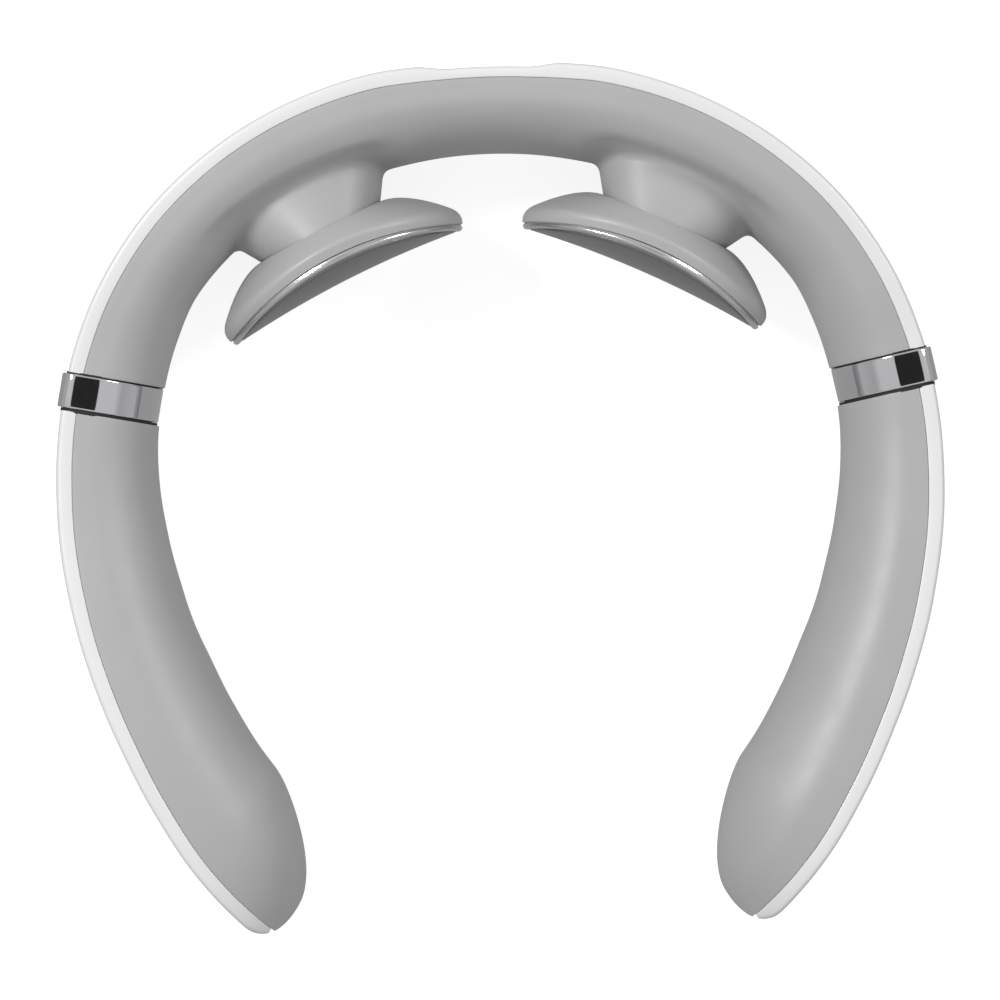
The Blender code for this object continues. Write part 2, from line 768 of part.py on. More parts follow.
def build_button(name, offset, radius):
    """One push button: its flanged cap, and the hole that the cover needs for it."""
    frame = band_frame(BOARD_ANGLE + offset)
    cap = rod(f"button_{name}", (0, 0, 0), (BUTTON_REACH, 0, 0), radius, frame)
    flange = rod("cap_flange", (COVER, 0, 0), (BUTTON_REACH - 0.1, 0, 0), radius + 0.8, frame)
    hole = rod("cap_hole", (-2, 0, 0), (4, 0, 0), radius + BUTTON_GAP, frame)
    return finish(join(cap, flange), "shell_grey"), frame.translation, hole


def build_switch(name, offset):
    """The tact switch under a button, on the flat main board."""
    board = band_frame(BOARD_ANGLE)
    place = board.inverted() @ band_frame(BOARD_ANGLE + offset).translation
    top = BOARD_DEPTH - 0.2 - SWITCH_HEIGHT
    low, high = (top, place.y - 1.7, -1.7), (BOARD_DEPTH - 0.2, place.y + 1.7, 1.7)
    return finish(box(f"switch_{name}", low, high, board), "frame_plastic")


def build_controls(cover, shell):
    """The right arm's buttons and electrics, with their holes in its cover and shell."""
    pieces = [build_switch(name, offset) for name, offset, _ in BUTTONS]
    buttons = [build_button(*button) for button in BUTTONS]
    led = band_frame(LED_ANGLE)
    lens = rod("led_lens", (0.1, 0, 0), (4.2, 0, 0), LED_RADIUS, led)
    led_hole = rod("led_hole", (-2, 0, 0), (4, 0, 0), LED_RADIUS + BUTTON_GAP, led)
    finish(cut(cover, led_hole, *(hole for _, _, hole in buttons)), "cover_white")

    board = band_frame(BOARD_ANGLE)
    back = BOARD_DEPTH + BOARD_SIZE[0] + GAP
    slot = box("usb_slot", (back - 0.3, -4.8, -25), (back + 3.6, 4.8, -13), board)
    finish(cut(shell, slot), "shell_grey")
    socket = box("usb_socket", (back, -4.5, -16.6), (back + 3.3, 4.5, -9.4), board)
    mouth = box("usb_mouth", (back + 0.4, -4.1, -18), (back + 2.9, 4.1, -10.4), board)
    buzzer = rod("buzzer", (back, 5.6, 0), (back + 2.5, 5.6, 0), 5.0, board)
    pieces += [
        finish(lens, "lens_clear"),
        finish(cut(socket, mouth), "steel"),
        finish(buzzer, "frame_plastic"),
        band_box("main_board", BOARD_ANGLE, BOARD_SIZE, BOARD_DEPTH, "board_green"),
    ]
    return pieces, buttons


def build_power():
    """The battery and its protection board, made on the right and mirrored to the left."""
    return [
        band_box("battery", BATTERY_ANGLE, BATTERY_SIZE, BATTERY_DEPTH, "battery_foil"),
        band_box("battery_board", 102, (1.0, 9.0, 16.0), PLATE[1] + 0.4, "board_green"),
    ]


def main():
    root = add_axis("massager")
    nape = build_nape_shells() + [build_chassis()]
    nape += [screw(f"nape_screw_{i + 1}", a, z) for i, (a, z) in enumerate(NAPE_SCREWS)]
    pulse_board = box("pulse_board", (-11, 62.2, -11), (11, 63.4, 11))
    nape.append(finish(pulse_board, "board_green"))
    for piece in (build_ring(), build_hinge_pin(), build_hinge_spring()):
        nape += [piece, twin(piece)]
    hang("massager", *nape)

    for side in ("right", "left"):
        at = GIMBAL if side == "right" else mirrored(GIMBAL)
        add_axis(f"{side}_head_axis", at, "massager")
    for piece in [build_gimbal_cross(), build_stem(), *build_head()]:
        hang("right_head_axis", piece)
        hang("left_head_axis", twin(piece))

    add_axis("right_arm_axis", PIVOT, "massager")
    add_axis("left_arm_axis", mirrored(PIVOT), "massager")
    cover, shell = build_arm_shells()
    frame = build_arm_frame()
    screws = [screw(f"right_arm_screw_{i + 1}", a, z) for i, (a, z) in enumerate(ARM_SCREWS)]
    for piece in (cover, shell, frame, *screws):
        hang("left_arm_axis", twin(piece))
    controls, buttons = build_controls(cover, shell)
    hang("right_arm_axis", cover, shell, frame, *screws, *controls)
    for cap, place, _ in buttons:
        axis = add_axis(cap.name + "_axis", place, "right_arm_axis")
        hang(axis.name, cap)
    for piece in build_power():
        piece.data = mirror_data(piece.data)
        hang("left_arm_axis", piece)

    covers = [bpy.data.objects[name] for name in ("back_cover", "right_arm_cover")]
    ends = [vertex.co.y for cover in covers for vertex in cover.data.vertices]
    root.location = (0, -(max(ends) + min(ends)) / 2, HALF_HEIGHT * MM)


main()
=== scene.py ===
"""The looks of the hinged neck massager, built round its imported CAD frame.

The fine surfaces follow the same outline as the frame: polar round the centre of the C, with an
angle in degrees from the nape (+Y) towards +X, a depth in from the outer face and a height over
the middle. Outline sizes are in millimetres in the band's own frame, whose centre ORIGIN is.
"""

import json
import math

import bmesh
import bpy
import numpy as np
from mathutils import Matrix, Vector


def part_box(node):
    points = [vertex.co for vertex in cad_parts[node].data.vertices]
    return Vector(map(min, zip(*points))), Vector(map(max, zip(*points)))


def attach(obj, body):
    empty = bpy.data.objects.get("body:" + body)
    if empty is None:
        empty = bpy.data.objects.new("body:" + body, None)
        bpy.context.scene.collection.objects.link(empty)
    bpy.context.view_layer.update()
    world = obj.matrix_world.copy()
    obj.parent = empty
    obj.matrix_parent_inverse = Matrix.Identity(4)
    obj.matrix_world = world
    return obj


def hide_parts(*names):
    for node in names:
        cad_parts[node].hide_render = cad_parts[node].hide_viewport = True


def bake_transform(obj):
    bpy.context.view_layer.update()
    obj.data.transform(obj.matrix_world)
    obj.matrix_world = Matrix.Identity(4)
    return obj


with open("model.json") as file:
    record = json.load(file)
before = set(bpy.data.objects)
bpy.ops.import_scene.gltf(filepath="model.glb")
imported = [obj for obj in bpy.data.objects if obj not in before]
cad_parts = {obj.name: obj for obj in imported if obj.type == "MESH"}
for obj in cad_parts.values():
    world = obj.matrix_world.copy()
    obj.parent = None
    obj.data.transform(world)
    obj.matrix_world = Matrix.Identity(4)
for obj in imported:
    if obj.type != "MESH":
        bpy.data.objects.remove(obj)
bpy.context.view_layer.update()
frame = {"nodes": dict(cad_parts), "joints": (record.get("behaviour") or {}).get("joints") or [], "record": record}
JOINTS = {joint["name"]: joint for joint in frame["joints"]}

MM = 0.001

# Plan outline of the band: (angle from the nape in degrees, radius in mm)
OUTER_STATIONS = (
    (0, 74.15), (5, 74.25), (10, 74.65), (15, 75.3), (20, 75.7), (30, 76.45), (40, 77.0),
    (50, 77.3), (60, 77.1), (70, 76.5), (80, 75.7), (90, 75.1), (100, 74.95), (110, 75.4),
    (120, 76.6), (130, 78.9), (140, 82.1), (148, 84.5), (154, 86.2),
)
INNER_STATIONS = (
    (0, 58.7), (10, 58.85), (20, 59.3), (32, 60.4), (45, 61.7), (54, 62.0), (62, 61.1),
    (70, 60.0), (78, 59.0), (86, 57.8), (95, 56.6), (105, 55.95), (115, 55.95), (125, 56.85),
    (135, 58.6), (145, 60.6), (154, 62.0),
)
# Half of the band's height, the same way
HEIGHT_STATIONS = (
    (0, 19.5), (12, 19.5), (25, 19.3), (45, 18.4), (60, 17.0), (72, 15.8), (80, 15.8),
    (90, 16.4), (105, 18.0), (120, 19.2), (130, 19.5), (154, 19.5),
)
COVER, SEAM = 3.0, 0.04  # depth where the grey shell starts, and the seam in front of it
RECESS, RECESS_FLOOR, RECESS_EDGE = 0.95, 5.0, 10.0  # the shallow hollow between the two humps
CROWN, COVER_ROUNDING, COVER_LIP = 0.35, 0.75, 0.2
WALL = 1.5
TIP_END, TIP_RADIUS = 151.8, 76.0
TIP_OUTER_START, TIP_INNER_START, TIP_HEIGHT_START = 147.3, 138.0, 131.0
TIP_INNER_POWER, TIP_HEIGHT_POWER = 1.8, 2.4
COVER_LAST = 150.1
HOLLOW_UNTIL = (148.4, 149.6)  # the arm shell closes between these, behind its cover
NAPE_END = (71.8, 69.9)  # angle on the outer face and on the inner one
ARM_START = (76.7, 76.1)
SKEW_FROM, SKEW_TO = 52.0, 90.0  # between these angles the sections lean to match the ring
ACROSS_POWER, UP_POWER, LAND = 0.92, 0.85, 1.03
EDGE = 0.13  # rounding of the shells' and covers' edges
EDGE_TURN = 0.098  # the same length along the band, in degrees
NAPE_STEP, ARM_STEP = 0.5, 0.75  # degrees between sections

# Rings, measured along the band from the middle of the hinge
RING_FROM, RING_TO = -3.05, 2.75
RING_PROUD, RING_TOP_PROUD, RING_INNER_DROP = 0.5, 0.35, 0.3
RING_WALL, RING_CORNER, RING_ROUNDING = 0.9, 2.4, 0.3
BOOT_FROM, BOOT_TO, BOOT_BEND = RING_FROM - 0.33, RING_TO + 0.7, 1.5
BOOT_OUTSIDE, BOOT_INSIDE = 1.0, 1.6  # how far in from the ring's surface
BOOT_LIP, BOOT_LIP_SHIFT = 0.35, 0.3  # the lips that fill the gaps beside a ring

# Heads
HEAD_TURN, HEAD_OUT, HEAD_ASIDE, SWIVEL = 25.35, 44.6, 6.5, 17.7
PAD, PAD_TOP, PAD_BAND, PAD_WALL = (22.8, 18.2), 9.7, 2.8, 1.3
FOOT_BACK, FOOT_OUT, FOOT_IN = 1.05, 0.967, 0.955  # the foot of the housing, beside its bead
FACE_LOW, FACE_SIDE_DROP, FACE_RISE = 0.5, 1.5, 3.25
SLEEVE_AT, SLEEVE, SLEEVE_TAPER, SLEEVE_POWER = 9.35, (11.1, 14.4), (0.64, -0.26), 2.15
SLEEVE_END, SLEEVE_ROOT, SLEEVE_WALL, SLEEVE_LIP = 9.2, 19.5, 1.7, 0.3
BLEND = 1.3  # fillet between a sleeve and the nape
OPENING_GAP = 0.5  # round the sleeve, so that the pad can float
PINCH, PINCH_FROM, PINCH_TO = 1.5, (13.0, 21.0), (50.0, 41.0)  # the hollow beside each sleeve
BEAD, BEAD_BACK, BEAD_INSET = 0.6, (0.42, 0.3), (0.95, 0.7)
PLATE_REACH, PLATE_RIM, PLATE_ROUNDING, PLATE_THICKNESS = 0.9, 0.02, 0.35, 0.8

# Controls in the right arm
BOARD_ANGLE = 97.5
KEYS = (("plus", -6.2, 2.6), ("power", 0.0, 3.2), ("minus", 6.2, 2.6))
KEY_GAP, KEY_SKIRT, KEY_FLANGE, KEY_POCKET = 0.3, 2.5, 0.8, 1.0
LED_ANGLE, LED_RADIUS = 108.3, 1.0


# ---------------------------------------------------------------- outline of the band


def through(stations):
    """A smooth curve through the stations, level wherever they turn back."""
    xs, ys = np.array(stations, float).T
    rises = np.diff(ys) / np.diff(xs)
    slopes = np.zeros(len(xs))
    before, after = rises[:-1], rises[1:]
    same = before * after > 0
    slopes[1:-1][same] = (2 * before * after)[same] / (before + after)[same]
    slopes[-1] = rises[-1]

    def value(x):
        x = np.asarray(x, float)
        i = np.clip(np.searchsorted(xs, x, side="right") - 1, 0, len(xs) - 2)
        span = xs[i + 1] - xs[i]
        t = (x - xs[i]) / span
        return (
            ys[i] * (1 + 2 * t) * (1 - t) ** 2
            + ys[i + 1] * t * t * (3 - 2 * t)
            + span * (slopes[i] * t * (1 - t) ** 2 + slopes[i + 1] * t * t * (t - 1))
        )

    return value


outer_base = through(OUTER_STATIONS)
inner_base = through(INNER_STATIONS)
height_base = through(HEIGHT_STATIONS)


def share(x, start, end):
    """How far x is from start to end, from 0 to 1."""
    return np.clip((np.asarray(x, float) - start) / (end - start), 0.0, 1.0)


def ease(t):
    return t * t * (3 - 2 * t)


def outer_radius(angle):
    angle = np.abs(angle)
    base = outer_base(angle)
    turn = 1 - np.sqrt(1 - share(angle, TIP_OUTER_START, TIP_END) ** 2)
    groove = RECESS * ease(share(angle, RECESS_EDGE, RECESS_FLOOR))
    return base - groove - (base - TIP_RADIUS) * turn


def inner_radius(angle):
    angle = np.abs(angle)
    base = inner_base(angle)
    power = TIP_INNER_POWER
    turn = 1 - (1 - share(angle, TIP_INNER_START, TIP_END) ** power) ** (1 / power)
    return base + (TIP_RADIUS - base) * turn


def half_height(angle):
    angle = np.abs(angle)
    power = TIP_HEIGHT_POWER
    return height_base(angle) * (1 - share(angle, TIP_HEIGHT_START, TIP_END) ** power) ** (1 / power)


def skew(angle):
    """How many degrees the inner end of a section trails its outer end."""
    nape = (NAPE_END[0] - NAPE_END[1]) * ease(share(angle, SKEW_FROM, NAPE_END[0]))
    arm = (ARM_START[0] - ARM_START[1]) * ease(share(angle, SKEW_TO, ARM_START[0]))
    return np.where(angle < (NAPE_END[0] + ARM_START[0]) / 2, nape, arm)


def plan(angle, radius):
    turn = np.radians(angle)
    return np.stack([np.sin(turn) * radius, np.cos(turn) * radius, np.zeros_like(turn * radius)], -1)


class Sections:
    """Cross-sections of the band at some outer angles, each shrunk by its inset."""

    def __init__(self, angles, insets=0.0):
        self.angles = np.asarray(angles, float)
        self.insets = np.broadcast_to(np.asarray(insets, float), self.angles.shape)
        self.outer = plan(self.angles, outer_radius(self.angles))
        inner_angles = self.angles - skew(self.angles)
        self.inner = plan(inner_angles, inner_radius(inner_angles))
        self.depth = np.linalg.norm(self.inner - self.outer, axis=1)
        self.height = half_height(self.angles)
        shortfall = outer_base(self.angles) - outer_radius(self.angles)
        self.cover = np.maximum(0.0, COVER - shortfall)

    def at(self, depth, height):
        """Points for depth and height arrays with one row for each section."""
        t = (depth / self.depth[:, None])[..., None]
        points = self.outer[:, None] * (1 - t) + self.inner[:, None] * t
        points[..., 2] = height
        return points


def oval(turns):
    """The half oval's shares of its depth and of its half height, turns in degrees."""
    turns = np.radians(turns)
    level = np.cos(turns)
    up = np.minimum(1.0, LAND * np.abs(level) ** UP_POWER)
    return np.abs(np.sin(turns)) ** ACROSS_POWER, np.copysign(up, level)


# ---------------------------------------------------------------- objects


def new_piece(name, bm, material, body, smooth_angle=35):
    """A piece from a bmesh in mm in the band's frame. It rides on a body unless body is None."""
    bm.transform(Matrix.Translation(ORIGIN) @ Matrix.Scale(MM, 4))
    bm.normal_update()
    mesh = bpy.data.meshes.new(name)
    bm.to_mesh(mesh)
    bm.free()
    obj = bpy.data.objects.new(name, mesh)
    bpy.context.scene.collection.objects.link(obj)
    mesh.shade_smooth()
    mesh.set_sharp_from_angle(angle=math.radians(smooth_angle))
    mesh.materials.append(material)
    if body is not None:
        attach(obj, body)
    return obj


def bake_modifiers(obj):
    """Applies what obj's modifiers make, and keeps its materials."""
    graph = bpy.context.evaluated_depsgraph_get()
    mesh = bpy.data.meshes.new_from_object(obj.evaluated_get(graph))
    obj.modifiers.clear()
    obj.data = mesh
    return obj


def grid_faces(bm, rows, around=False):
    """Quads between neighbouring rows of vertices. around closes each row into a ring."""
    for row, after in zip(rows, rows[1:]):
        last = len(row) if around else len(row) - 1
        for i in range(last):
            j = (i + 1) % len(row)
            quad = [row[i], row[j], after[j], after[i]]
            unique = list(dict.fromkeys(quad))
            if len(unique) > 2:
                bm.faces.new(unique)


def vertex_grid(bm, points):
    return [[bm.verts.new(point) for point in row] for row in points]


def outward(bm):
    bm.normal_update()
    bmesh.ops.recalc_face_normals(bm, faces=bm.faces)


def loft(points, closed=False, frame_matrix=None):
    """A bmesh skinned over rings of points. An open row of rings gets a cap at each end."""
    bm = bmesh.new()
    rows = vertex_grid(bm, points)
    grid_faces(bm, rows + rows[:1] if closed else rows, around=True)
    if not closed:
        bm.faces.new(rows[0])
        bm.faces.new(rows[-1])
    outward(bm)
    if frame_matrix is not None:
        bm.transform(frame_matrix)
    return bm


def mirrored(bm):
    """The bmesh reflected in the band's middle plane."""
    copy = bm.copy()
    copy.transform(Matrix.Scale(-1, 4, (1, 0, 0)))
    bmesh.ops.reverse_faces(copy, faces=copy.faces)
    return copy


def pair(bm, name, material, body, node=None, smooth_angle=35):
    """A right-hand piece and its left-hand twin, each in place of its own CAD node."""
    pieces = []
    for side, mesh in (("left", mirrored(bm)), ("right", bm)):
        sided_body = body if body == "nape" else f"{side}_{body}"
        piece = new_piece(f"{side}_{name}_fine", mesh, material, sided_body, smooth_angle)
        if node:
            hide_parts(f"{side}_{node}")
        pieces.append(piece)
    return pieces


# ---------------------------------------------------------------- frames of reference


def frame_of(inward, along, place):
    axes = (Vector(inward), Vector(along), Vector((0, 0, 1)))
    matrix = Matrix(axes).transposed().to_4x4()
    matrix.translation = Vector(place)
    return matrix


def band_frame(angle):
    """On the outer face at an angle: x goes in, y along the band towards the tip."""
    step = 1.0
    after = Vector(plan(angle + step, outer_base(angle + step)))
    before = Vector(plan(angle - step, outer_base(angle - step)))
    along = (after - before).normalized()
    return frame_of(along.cross(Vector((0, 0, 1))), along, plan(angle, outer_base(angle)))


def ring_frame():
    """In the middle of the right ring: x goes in, y along the band towards the arm."""
    corners = []
    for outer, inner in (NAPE_END, ARM_START):
        corners.append(Vector(plan(outer, outer_radius(outer))))
        corners.append(Vector(plan(inner, inner_radius(inner))))
    inward = ((corners[1] - corners[0]) + (corners[3] - corners[2])).normalized()
    along = Vector((0, 0, 1)).cross(inward)
    return frame_of(inward, along, sum(corners, Vector()) / 4)


def head_frame():
    """On the right pad's rim chord: x along the band, y back to the band, z up."""
    turn = math.radians(HEAD_TURN)
    back = Vector((math.sin(turn), math.cos(turn), 0))
    aside = Vector((math.cos(turn), -math.sin(turn), 0))
    return frame_of(aside, back, back * HEAD_OUT + aside * HEAD_ASIDE)


RING = ring_frame()
HEAD = head_frame()
GIMBAL = HEAD @ Vector((0, SWIVEL, 0))
ORIGIN = Vector(JOINTS["right_head_swivel"]["pos_m"]) - GIMBAL * MM


# ---------------------------------------------------------------- materials


def nodes_of(name):
    material = bpy.data.materials.new(name)
    material.use_nodes = True
    tree = material.node_tree
    return material, tree, tree.nodes["Principled BSDF"]


def noise(tree, scale, detail=3.0, stretch=None):
    """Noise over the object's own coordinates, with features of about 1/scale metres."""
    place = tree.nodes.new("ShaderNodeTexCoord")
    source = place.outputs["Object"]
    if stretch is not None:
        squeeze = tree.nodes.new("ShaderNodeMapping")
        squeeze.inputs["Scale"].default_value = stretch
        tree.links.new(source, squeeze.inputs["Vector"])
        source = squeeze.outputs["Vector"]
    texture = tree.nodes.new("ShaderNodeTexNoise")
    texture.inputs["Scale"].default_value = scale
    texture.inputs["Detail"].default_value = detail
    tree.links.new(source, texture.inputs["Vector"])
    return texture.outputs["Fac"]


def ramp(tree, factor, low, high):
    """Maps the middle of a noise to a colour or grey between low and high."""
    node = tree.nodes.new("ShaderNodeValToRGB")
    for element, place, value in zip(node.color_ramp.elements, (0.3, 0.7), (low, high)):
        element.position = place
        element.color = (*value, 1.0) if isinstance(value, tuple) else (value, value, value, 1.0)
    tree.links.new(factor, node.inputs["Fac"])
    return node.outputs["Color"]


def bump(tree, shader, height, strength, distance):
    node = tree.nodes.new("ShaderNodeBump")
    node.inputs["Strength"].default_value = strength
    node.inputs["Distance"].default_value = distance
    tree.links.new(height, node.inputs["Height"])
    tree.links.new(node.outputs["Normal"], shader.inputs["Normal"])


def moulded(name, colour, spread, roughness, grain, depth, coat=0.0, sheen=0.0):
    """Moulded plastic: cloudy colour, uneven gloss and a fine grain of a given depth."""
    material, tree, shader = nodes_of(name)
    cloud = noise(tree, 60.0, 2.0)
    dark = tuple(c * (1 - spread) for c in colour)
    light = tuple(min(1.0, c * (1 + spread)) for c in colour)
    tree.links.new(ramp(tree, cloud, dark, light), shader.inputs["Base Color"])
    gloss = ramp(tree, noise(tree, 220.0), roughness * 0.93, roughness * 1.07)
    tree.links.new(gloss, shader.inputs["Roughness"])
    bump(tree, shader, noise(tree, grain, 2.0), 0.35, depth)
    shader.inputs["Coat Weight"].default_value = coat
    shader.inputs["Coat Roughness"].default_value = 0.12
    shader.inputs["Sheen Weight"].default_value = sheen
    shader.inputs["Sheen Roughness"].default_value = 0.5
    return material


def metal(name, colour, roughness, spread, grain, stretch=None, depth=0.00001):
    """Bare or plated metal with an uneven polish, brushed along one axis if stretched."""
    material, tree, shader = nodes_of(name)
    shader.inputs["Metallic"].default_value = 1.0
    low, high = (tuple(c * k for c in colour) for k in (0.96, 1.0))
    tree.links.new(ramp(tree, noise(tree, 90.0), low, high), shader.inputs["Base Color"])
    polish = ramp(tree, noise(tree, grain, 4.0, stretch), roughness - spread, roughness + spread)
    tree.links.new(polish, shader.inputs["Roughness"])
    bump(tree, shader, noise(tree, grain * 2, 3.0, stretch), 0.15, depth)
    return material


def circuit_board(name):
    """Green solder mask with faint tracks showing through it."""
    material, tree, shader = nodes_of(name)
    place = tree.nodes.new("ShaderNodeTexCoord")
    tracks = tree.nodes.new("ShaderNodeTexBrick")
    tracks.inputs["Scale"].default_value = 260.0
    tracks.inputs["Mortar Size"].default_value = 0.06
    tracks.inputs["Color1"].default_value = (0.012, 0.10, 0.04, 1)
    tracks.inputs["Color2"].default_value = (0.016, 0.13, 0.05, 1)
    tracks.inputs["Mortar"].default_value = (0.03, 0.22, 0.09, 1)
    tree.links.new(place.outputs["Object"], tracks.inputs["Vector"])
    tree.links.new(tracks.outputs["Color"], shader.inputs["Base Color"])
    tree.links.new(ramp(tree, noise(tree, 300.0), 0.3, 0.42), shader.inputs["Roughness"])
    bump(tree, shader, tracks.outputs["Fac"], 0.4, 0.00003)
    return material


GREY = (0.44, 0.44, 0.445)
MATERIALS = {
    "cover_white": moulded("cover_white", (0.82, 0.82, 0.82), 0.01, 0.34, 1500.0, 0.000012, coat=0.12),
    "shell_grey": moulded("shell_grey", GREY, 0.02, 0.44, 4200.0, 0.00003, sheen=0.06),
    "head_grey": moulded("head_grey", tuple(c * 1.04 for c in GREY), 0.02, 0.38, 4200.0, 0.00003),
    "chrome": metal("chrome", (0.83, 0.83, 0.85), 0.07, 0.02, 700.0),
    "bead_chrome": metal("bead_chrome", (0.80, 0.80, 0.82), 0.2, 0.02, 700.0),
    "steel": metal("steel", (0.31, 0.31, 0.315), 0.3, 0.06, 500.0, (1.0, 1.0, 14.0)),
    "frame_plastic": moulded("frame_plastic", (0.035, 0.035, 0.04), 0.15, 0.55, 1800.0, 0.00006),
    "board_green": circuit_board("board_green"),
    "battery_foil": metal("battery_foil", (0.55, 0.57, 0.60), 0.36, 0.08, 260.0, depth=0.00012),
    "film_amber": moulded("film_amber", (0.50, 0.24, 0.03), 0.12, 0.34, 900.0, 0.00002, coat=0.4),
    "lens_clear": moulded("lens_clear", (0.72, 0.76, 0.77), 0.02, 0.22, 1200.0, 0.00001, coat=0.5),
    "boot_rubber": moulded("boot_rubber", (0.012, 0.012, 0.013), 0.2, 0.7, 2400.0, 0.00005),
    "mark": moulded("mark", (0.20, 0.20, 0.205), 0.03, 0.5, 3000.0, 0.00002),
}


# ---------------------------------------------------------------- shells and covers

# Degrees round the half oval, with every row of the sleeves' patch among them
PATCH_TURNS = np.arange(28, 153, 4)
OUTER_FIRST, INNER_FIRST = np.linspace(5, 25, 6), np.array([180, 172, 162])
OUTER_TURNS = np.concatenate([OUTER_FIRST, PATCH_TURNS, 180 - OUTER_FIRST[::-1]])
INNER_TURNS = np.concatenate([INNER_FIRST, PATCH_TURNS[::-1], [18, 8, 0]])
QUARTER = np.radians([0.0, 22.0, 45.0, 68.0, 90.0])
CURVE_IN, CURVE_UP = 1 - np.cos(QUARTER), 1 - np.sin(QUARTER)


def columns(*parts):
    """Arrays side by side, each stretched to one row for every section."""
    rows = max(part.shape[0] for part in parts if part.ndim == 2)
    return np.concatenate([np.broadcast_to(p, (rows, p.shape[-1])) for p in parts], axis=1)


def shell_loops(sections):
    """Closed loops of the grey shell's wall, and how many of each loop's points are outside."""
    across, up = oval(OUTER_TURNS)
    inset, start = sections.insets[:, None], sections.cover[:, None]
    height, depth = sections.height[:, None], sections.depth[:, None]
    edge = np.minimum(EDGE, 0.2 * np.minimum(height, depth - start))
    corner_depth = start + edge * CURVE_IN
    corner_height = height - inset - edge * CURVE_UP
    outer_depth = start + (depth - start - inset) * across
    outer_height = up * (height - inset)
    wall = np.minimum(WALL, 0.45 * np.minimum(height, depth - start))
    inner_across, inner_up = oval(INNER_TURNS)
    hollow = ease(share(sections.angles, *HOLLOW_UNTIL[::-1]))[:, None]
    inner_depth = start + (depth - start - wall) * inner_across * hollow
    inner_height = inner_up * (height - wall)
    depths = columns(corner_depth, outer_depth, corner_depth[:, ::-1], inner_depth)
    heights = columns(corner_height, outer_height, -corner_height[:, ::-1], inner_height)
    outside = len(OUTER_TURNS) + 2 * len(QUARTER)
    return sections.at(depths, heights), outside


def cover_loops(sections):
    """Closed loops of a white cover: crowned outer face, rounded edges and a flat back."""
    inset = sections.insets[:, None]
    height = sections.height[:, None] - inset
    back = np.maximum(sections.cover[:, None] - SEAM, 0.05)
    edge = np.minimum(COVER_ROUNDING, back * 0.45)
    lip = np.minimum(COVER_LIP, back * 0.3)
    crown = CROWN * np.minimum(1.0, back / (COVER - SEAM)) + inset
    rows = np.linspace(1, -1, 23)[1:-1]
    face_height = rows * (height - edge)
    face_depth = inset + (crown - inset) * (face_height / height) ** 2
    back_depth, back_height = back - lip * CURVE_UP[::2], height - lip * CURVE_IN[::2]
    top_depth = columns(back_depth[:, ::-1], crown + edge * CURVE_UP)
    top_height = columns(back_height[:, ::-1], height - edge * CURVE_IN)
    depths = columns(top_depth, face_depth, top_depth[:, ::-1])
    heights = columns(top_height, face_height, -top_height[:, ::-1])
    return sections.at(depths, heights)


def edge_angles(at, side):
    """Angles and insets that round off an end. side is 1 where the piece goes on upwards."""
    run = np.array([0.0, 0.12, 0.35, 0.65, 1.0])
    inset = EDGE * (1 - np.sqrt(1 - (1 - run) ** 2))
    angles = at + side * EDGE_TURN * run
    return (angles, inset) if side > 0 else (angles[::-1], inset[::-1])


def nape_sections():
    """The right half of the nape, from its middle to its rounded end."""
    end, inset = edge_angles(NAPE_END[0], -1)
    middle = np.arange(0, end[0] - NAPE_STEP / 2, NAPE_STEP)
    return Sections(np.concatenate([middle, end]), np.concatenate([0 * middle, inset]))


def arm_sections(last=TIP_END - 0.004, tip_count=44):
    """The right arm from its rounded start, with ever closer sections at its tip."""
    start, inset = edge_angles(ARM_START[0], 1)
    middle = np.arange(start[-1] + ARM_STEP / 2, TIP_HEIGHT_START, ARM_STEP)
    swing = math.asin((last - TIP_HEIGHT_START) / (TIP_END - TIP_HEIGHT_START))
    tip = TIP_HEIGHT_START + (TIP_END - TIP_HEIGHT_START) * np.sin(np.linspace(0, swing, tip_count))
    angles = np.concatenate([start, middle, tip])
    return Sections(angles, np.concatenate([inset, np.zeros(len(angles) - len(inset))]))


def close_wall(bm, row, outside):
    """Closes the end of a hollow wall, between its outer points and its inner ones."""
    outer, inner = row[:outside], row[outside:][::-1]
    i = j = 0
    while i < len(outer) - 1 or j < len(inner) - 1:
        if j == len(inner) - 1 or (i + 1) * (len(inner) - 1) <= (j + 1) * (len(outer) - 1):
            bm.faces.new((outer[i], outer[i + 1], inner[j]))
            i += 1
        else:
            bm.faces.new((outer[i], inner[j + 1], inner[j]))
            j += 1


def both_halves(bm):
    """Adds the mirrored half of a mesh that ends on the band's middle plane."""
    geometry = bm.verts[:] + bm.edges[:] + bm.faces[:]
    bmesh.ops.mirror(bm, geom=geometry, axis="X", merge_dist=0.0)
    bmesh.ops.remove_doubles(bm, verts=[v for v in bm.verts if abs(v.co.x) < 1e-4], dist=1e-3)
    outward(bm)
    return bm


# ---------------------------------------------------------------- the sleeves on the nape

# A window in the nape's shell, between these angles, is filled by a patch that runs out into the
# sleeve. The patch has rows on the sleeve's flank and more rows from its foot to the window.
PATCH_ANGLES = (11.0, 51.5)
PATCH_ROWS = (17, 17)
LONGEST_SLEEVE = 26.0


def head_points(across, back, up):
    """Points in the band's frame from arrays in the right head's frame."""
    local = np.stack(np.broadcast_arrays(across, back, up), -1)
    matrix = np.array(HEAD)
    return local @ matrix[:3, :3].T + matrix[:3, 3]


def in_head(points):
    matrix = np.array(HEAD)
    return (points - matrix[:3, 3]) @ matrix[:3, :3]


def sleeve_size(back):
    return [half + taper * (back - SLEEVE_AT) for half, taper in zip(SLEEVE, SLEEVE_TAPER)]


